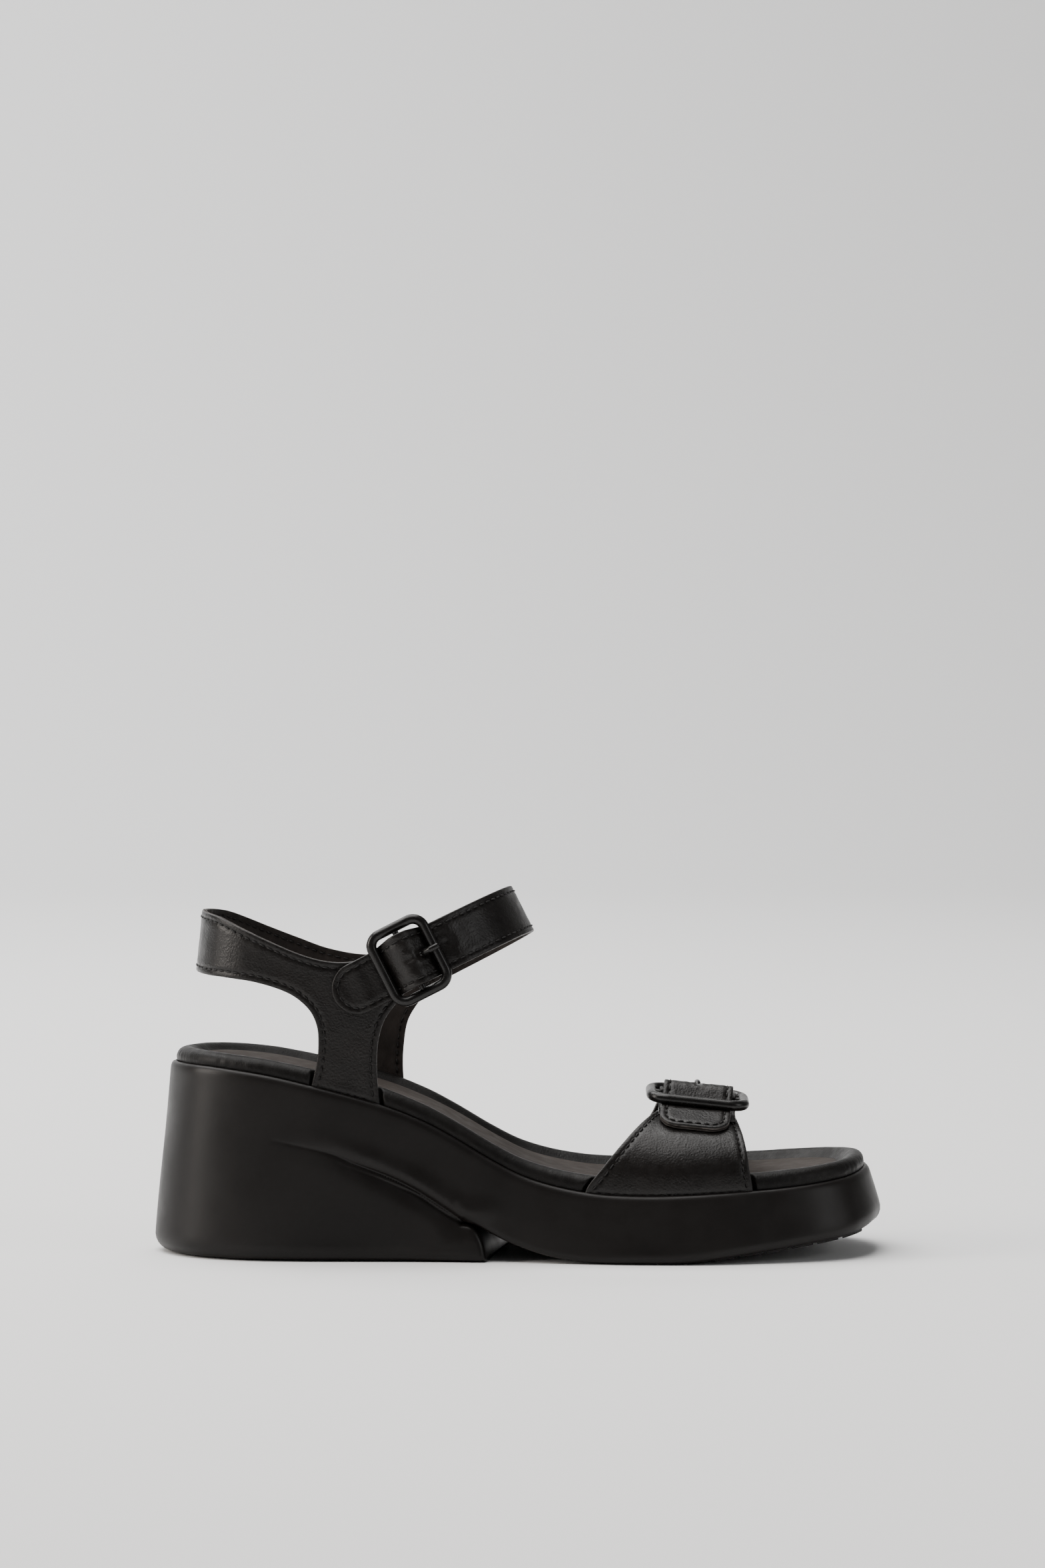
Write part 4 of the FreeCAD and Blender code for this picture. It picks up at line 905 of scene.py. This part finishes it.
def panel_place(side):
    """A function from flat (station, distance along the arch) to a panel's face, and the arch's length."""
    base = ARCH_BASE[side]
    far = lengths(base)
    u = HALF_U[side][::6]
    rim = footbed(side, u, 0, 0)
    rim_s, rim_y = rim[:, 0] - HEEL_X, np.abs(rim[:, 1])
    at_buckle = np.interp(BUCKLE_STATION, rim_s, rim_y) - PANEL_INSET

    def place(sb):
        y, z = (np.interp(sb[:, 1], far, c) for c in base.T)
        station = sb[:, 0]
        ratio = (np.interp(station, rim_s, rim_y) - PANEL_INSET) / at_buckle
        lift = top_line(station) - top_line(BUCKLE_STATION)
        up = np.clip((z - 27) / 20, 0, 1)
        edge = np.clip((np.abs(y) - 20) / 21.6, 0, 1)
        drop = -ARCH_DROP * (station - BUCKLE_STATION)
        height = z + lift * (1 - up) + drop * up
        return np.column_stack([HEEL_X + station, y * (1 + (ratio - 1) * edge), height])
    return place, far[-1]


def panel_flat(run, place, far):
    """Side-view points as flat (station, distance along the arch)."""
    b = np.linspace(0, far, 300)
    out = []
    for s, z in run:
        p = place(np.column_stack([np.full(300, s), b]))
        out.append((s, np.interp(z, p[:, 2], b)))
    return np.array(out)


def make_panel(side, tag):
    place, far = panel_place(side)
    sign = 1 if side == LATERAL else -1
    edge = np.vstack([panel_flat(foot_of(run), place, far) for run in PANEL_RUNS[side]])
    edge = resample(edge, EDGE_STEP, closed=True)
    name = "vamp_%s_" % tag
    pieces = two_layers(edge, place, sign, (name + "leather", name + "outer", -OUTER + LAYER_GAP, 0.0),
                        (name + "inside", name + "lining", -STRAP, -OUTER))
    pieces.append(stitching(name + "stitches", edge, place, sign, [(0.0, 1), (-STRAP, -1)],
                            keep=above_bed(place)))
    for obj in pieces:
        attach(obj, "shoe")


make_panel(LATERAL, "lateral")
make_panel(MEDIAL, "medial")


# ---------------------------------------------------------------- straps
def joint_frame(joint, origin, out):
    """Directions along, across and out of a strap, and its origin, as millimetre arrays."""
    z = np.array(out, float)
    z /= np.linalg.norm(z)
    y = np.array(JOINTS[joint]["axis"], float)
    y = y - z * (y @ z)
    y /= np.linalg.norm(y)
    return np.array(origin, float), np.cross(y, z), y, z


# How far past its lowest point a strap follows each end bar of its buckle, in radians.
WRAP_BACK = 0.45


def threaded(reach, pin_clear, bar_clear, level):
    """Inner face of a strap through a centre-bar buckle, in (along, out) steps from rear to front. It goes
    under both end bars of the frame, reach away, and over the pin. The clearances are from their middles."""
    theta = math.asin((pin_clear + bar_clear) / reach)
    pts = []
    for k in range(5):
        a = -WRAP_BACK + (theta + WRAP_BACK) * k / 4
        pts.append((reach - bar_clear * math.sin(a), level - bar_clear * math.cos(a)))
    for k in range(4):
        a = theta * (1 - k / 4)
        pts.append((pin_clear * math.sin(a), level + pin_clear * math.cos(a)))
    return [(-a, b) for a, b in pts] + [(0, level + pin_clear)] + pts[::-1]


# Inside a buckle the widening fades out over FILL_REACH from the pin, and the sideways swing acts on all that
# lies behind SKEW_FROM.
FILL_REACH, SKEW_FROM = 6.5, 2


def strap_place(axes, path, skew, fill):
    """A function from (distance from the tip, sideways) to the strap's inner face, its line and the distances
    along that. skew swings the tip sideways, and fill widens the upper half inside the buckle."""
    origin, along, across, out = axes
    line = spline(path, 0.25)
    far = lengths(line)
    before, after = (step / np.linalg.norm(step) for step in (line[0] - line[1], line[-1] - line[-2]))

    def place(sw):
        s = sw[:, 0]
        flat = np.column_stack([np.interp(s, far, c) for c in line.T])
        flat = flat + np.clip(-s, 0, None)[:, None] * before + np.clip(s - far[-1], 0, None)[:, None] * after
        wider = 1 + fill * bump(flat[:, 0], 0, FILL_REACH) * (sw[:, 1] > 0)
        w = sw[:, 1] * wider - skew * np.clip(flat[:, 0], None, SKEW_FROM)
        return origin + flat[:, :1] * along + w[:, None] * across + flat[:, 1:] * out
    return place, line, far


def strap_edge(length, half, corner):
    """A band whose tip, at zero, has rounded corners."""
    t = np.linspace(0, math.pi / 2, 14)
    tip = [(corner - corner * math.cos(a), half - corner + corner * math.sin(a)) for a in t]
    loop = [(length, -half), (length, half)] + tip[::-1] + [(s, -w) for s, w in tip]
    return resample(np.array(loop), EDGE_STEP, closed=True)


# Radius of a strap's unused holes.
HOLE = 0.95


def make_strap(tag, axes, path, half, corner, holes_at, prong, start, end, shift=0.0, skew=0.0, fill=0.0):
    """A strap through its buckle. prong is the hole that the prong goes through: its distance from the middle
    of the buckle, its stretch and its radius. holes_at has the other holes, and all are shifted sideways by
    shift. start, at its sewn end, and end are made into two points that nothing uses."""
    place, line, far = strap_place(axes, path, skew, fill)
    edge = strap_edge(far[-1], half, corner)
    middle = far[np.argmax(np.where(np.abs(line[:, 0]) < 3, line[:, 1], -1e9))]
    holes = [slot_ring(middle + prong[0], shift, prong[2], prong[1])]
    holes += [slot_ring(middle + s, shift, HOLE) for s in holes_at]
    pieces = two_layers(edge, place, 1, (tag + "_leather", tag + "_outer", LINING + LAYER_GAP, STRAP),
                        (tag + "_inside", tag + "_lining", 0.0, LINING), holes, cell=1.1)
    pieces.append(stitching(tag + "_stitches", edge, place, 1, [(STRAP, 1), (0.0, -1)]))
    origin, along, _, out = axes
    a, b = (tuple((origin + along * p[0] + out * p[1]) * MM) for p in (start, end))
    for obj in pieces:
        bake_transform(obj)
        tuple(a)
        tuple(b)


ANKLE = joint_frame("ankle_strap_open", (HEEL_X + 90.5, -32.75, 103), (0, -1, 0.0937))
ANKLE_PATH = [(-29, 0.15), (-26.4, 0.15), (-23.6, 0.2), (-20.8, 0.65), (-18.4, 1.12), (-15.5, 1.14)]
ANKLE_PATH += threaded(9.8, 2.9, 3.67, 4.8)
ANKLE_PATH += [(15.6, 1), (19.6, -0.9), (24.5, -3.7), (30, -8), (35, -13.8), (39, -21.2), (41.2, -29.6),
               (41.4, -38), (39.4, -45.9), (35.4, -53), (29.8, -58.8), (22.8, -63.1), (15.5, -65.7),
               (9, -66.8), (3, -67), (-3, -67), (-9, -67)]
make_strap("ankle_strap", ANKLE, ANKLE_PATH, 8.9, 8.85, (0.0, 15.4), (3.6, 2.6, 1.4), start=(9, -66.9),
           end=(9, -59), shift=0.5, fill=0.18)

VAMP_TILT = math.radians(5.6)
VAMP = joint_frame("vamp_strap_open", (HEEL_X + BUCKLE_STATION, -7, 54.15),
                   (ARCH_DROP, -math.sin(VAMP_TILT), math.cos(VAMP_TILT)))


def vamp_local(y, z):
    """A point of the section at BUCKLE_STATION as (along, out) of the forefoot strap."""
    p = np.array([HEEL_X + BUCKLE_STATION, y, z]) - VAMP[0]
    return p @ VAMP[1], p @ VAMP[3]


VAMP_PATH = [vamp_local(y, z) for y, z in ((-29.0, 44.5), (-26.2, 45.8), (-23.4, 47.15), (-20.6, 48.55))]
VAMP_PATH += threaded(10, 3.1, 3.77, 0)
VAMP_PATH += [vamp_local(y, z)
              for y, z in ((7.2, 51.9), (10.4, 52.15), (15.3, 51.55), (21.8, 50.25), (25.2, 48.9))]
make_strap("vamp_strap", VAMP, VAMP_PATH, 12.1, 6.5, (0.0,), (3.8, 2.6, 1.5), start=(22, -5), end=(13, -3.3),
           skew=0.06)


# ---------------------------------------------------------------- parts kept from the CAD model
def dress(node, skin, voxel=0.0):
    """Gives a CAD node its material. A voxel size in millimetres also rounds its corners like leather's."""
    obj = frame["nodes"][node]
    obj.data.materials.clear()
    obj.data.materials.append(skin)
    for polygon in obj.data.polygons:
        polygon.material_index = 0
    if voxel:
        remesh = obj.modifiers.new("even", "REMESH")
        remesh.mode = "VOXEL"
        remesh.voxel_size = voxel * MM
        remesh.use_smooth_shade = True
        relax = obj.modifiers.new("soft", "SMOOTH")
        relax.iterations = 4
        relax.factor = 0.5


dress("ankle_chape", NAPPA, 0.25)
dress("vamp_chape", NAPPA, 0.28)
for node in ("ankle_buckle_frame", "ankle_prong", "vamp_buckle_frame", "vamp_prong"):
    dress(node, BUCKLE_BLACK)
dress("heel_tread", TREAD_RUBBER)
dress("forefoot_tread", TREAD_RUBBER)
dress("insole_board", BOARD)
dress("steel_shank", STEEL)
dress("shank_rivets", STEEL)
dress("bottom_filler", CORK)


# ---------------------------------------------------------------- floor, light and camera
def backdrop():
    """A pale sweep: floor that curves up into a wall far behind the shoe."""
    m = material("backdrop", (0.80, 0.80, 0.80), (0.82, 0.82, 0.82), 0.9, mottle=0.6, grain=8,
                 grain_depth=0.0, fine=20, fine_depth=0.0, specular=0.05)
    bend_at, bend = 2.2, 1.4
    profile = [(-6, 0), (bend_at, 0)]
    profile += [(bend_at + bend * math.sin(a), bend - bend * math.cos(a))
                for a in np.linspace(0.08, math.pi / 2, 24)]
    profile += [(bend_at + bend, 6)]
    rows = np.array([[(x, y, z) for x in (-7, 7)] for y, z in profile]) / MM
    obj = mesh_object("backdrop", rows.reshape(-1, 3), grid_faces(len(profile), 2), [m])


def area_light(name, place, size, power, target=(0, 0, 0.06), tint=(1, 1, 1)):
    """A soft box at place, in metres, turned to its target."""
    data = bpy.data.lights.new(name, "AREA")
    data.shape = "RECTANGLE"
    data.size, data.size_y = size
    data.energy = power
    data.color = tint
    obj = bpy.data.objects.new(name, data)
    obj.location = place
    obj.rotation_euler = (Vector(target) - Vector(place)).to_track_quat("-Z", "Y").to_euler()
    bpy.context.scene.collection.objects.link(obj)


backdrop()
area_light("overhead", (-0.5, 0.1, 2.1), (2.6, 2.0), 94, tint=(1.0, 0.985, 0.97))
area_light("rear_wall", (-2.1, 1.2, 2.4), (2.2, 1.2), 124, target=(-2.0, 3.5, 0.8))
area_light("front_left", (-2.2, -0.45, 0.9), (0.8, 1.4), 46, tint=(1.0, 0.94, 0.88))
area_light("front_right", (2.0, -1.0, 0.9), (0.8, 1.2), 10)
world = bpy.data.worlds.new("studio")
bpy.context.scene.world = world
world.use_nodes = True
world.node_tree.nodes["Background"].inputs["Color"].default_value = (0.98, 0.99, 1.0, 1)
world.node_tree.nodes["Background"].inputs["Strength"].default_value = 0.13

camera = bpy.data.objects.new("camera", bpy.data.cameras.new("camera"))
camera.data.lens, camera.data.sensor_width = 118.5, 36
camera.location = (0.00157, -1.8, 0.227)
camera.rotation_euler = (math.radians(90 - 2.04), 0, 0)
bpy.context.scene.collection.objects.link(camera)
bpy.context.scene.camera = camera

bpy.context.view_layer.update()
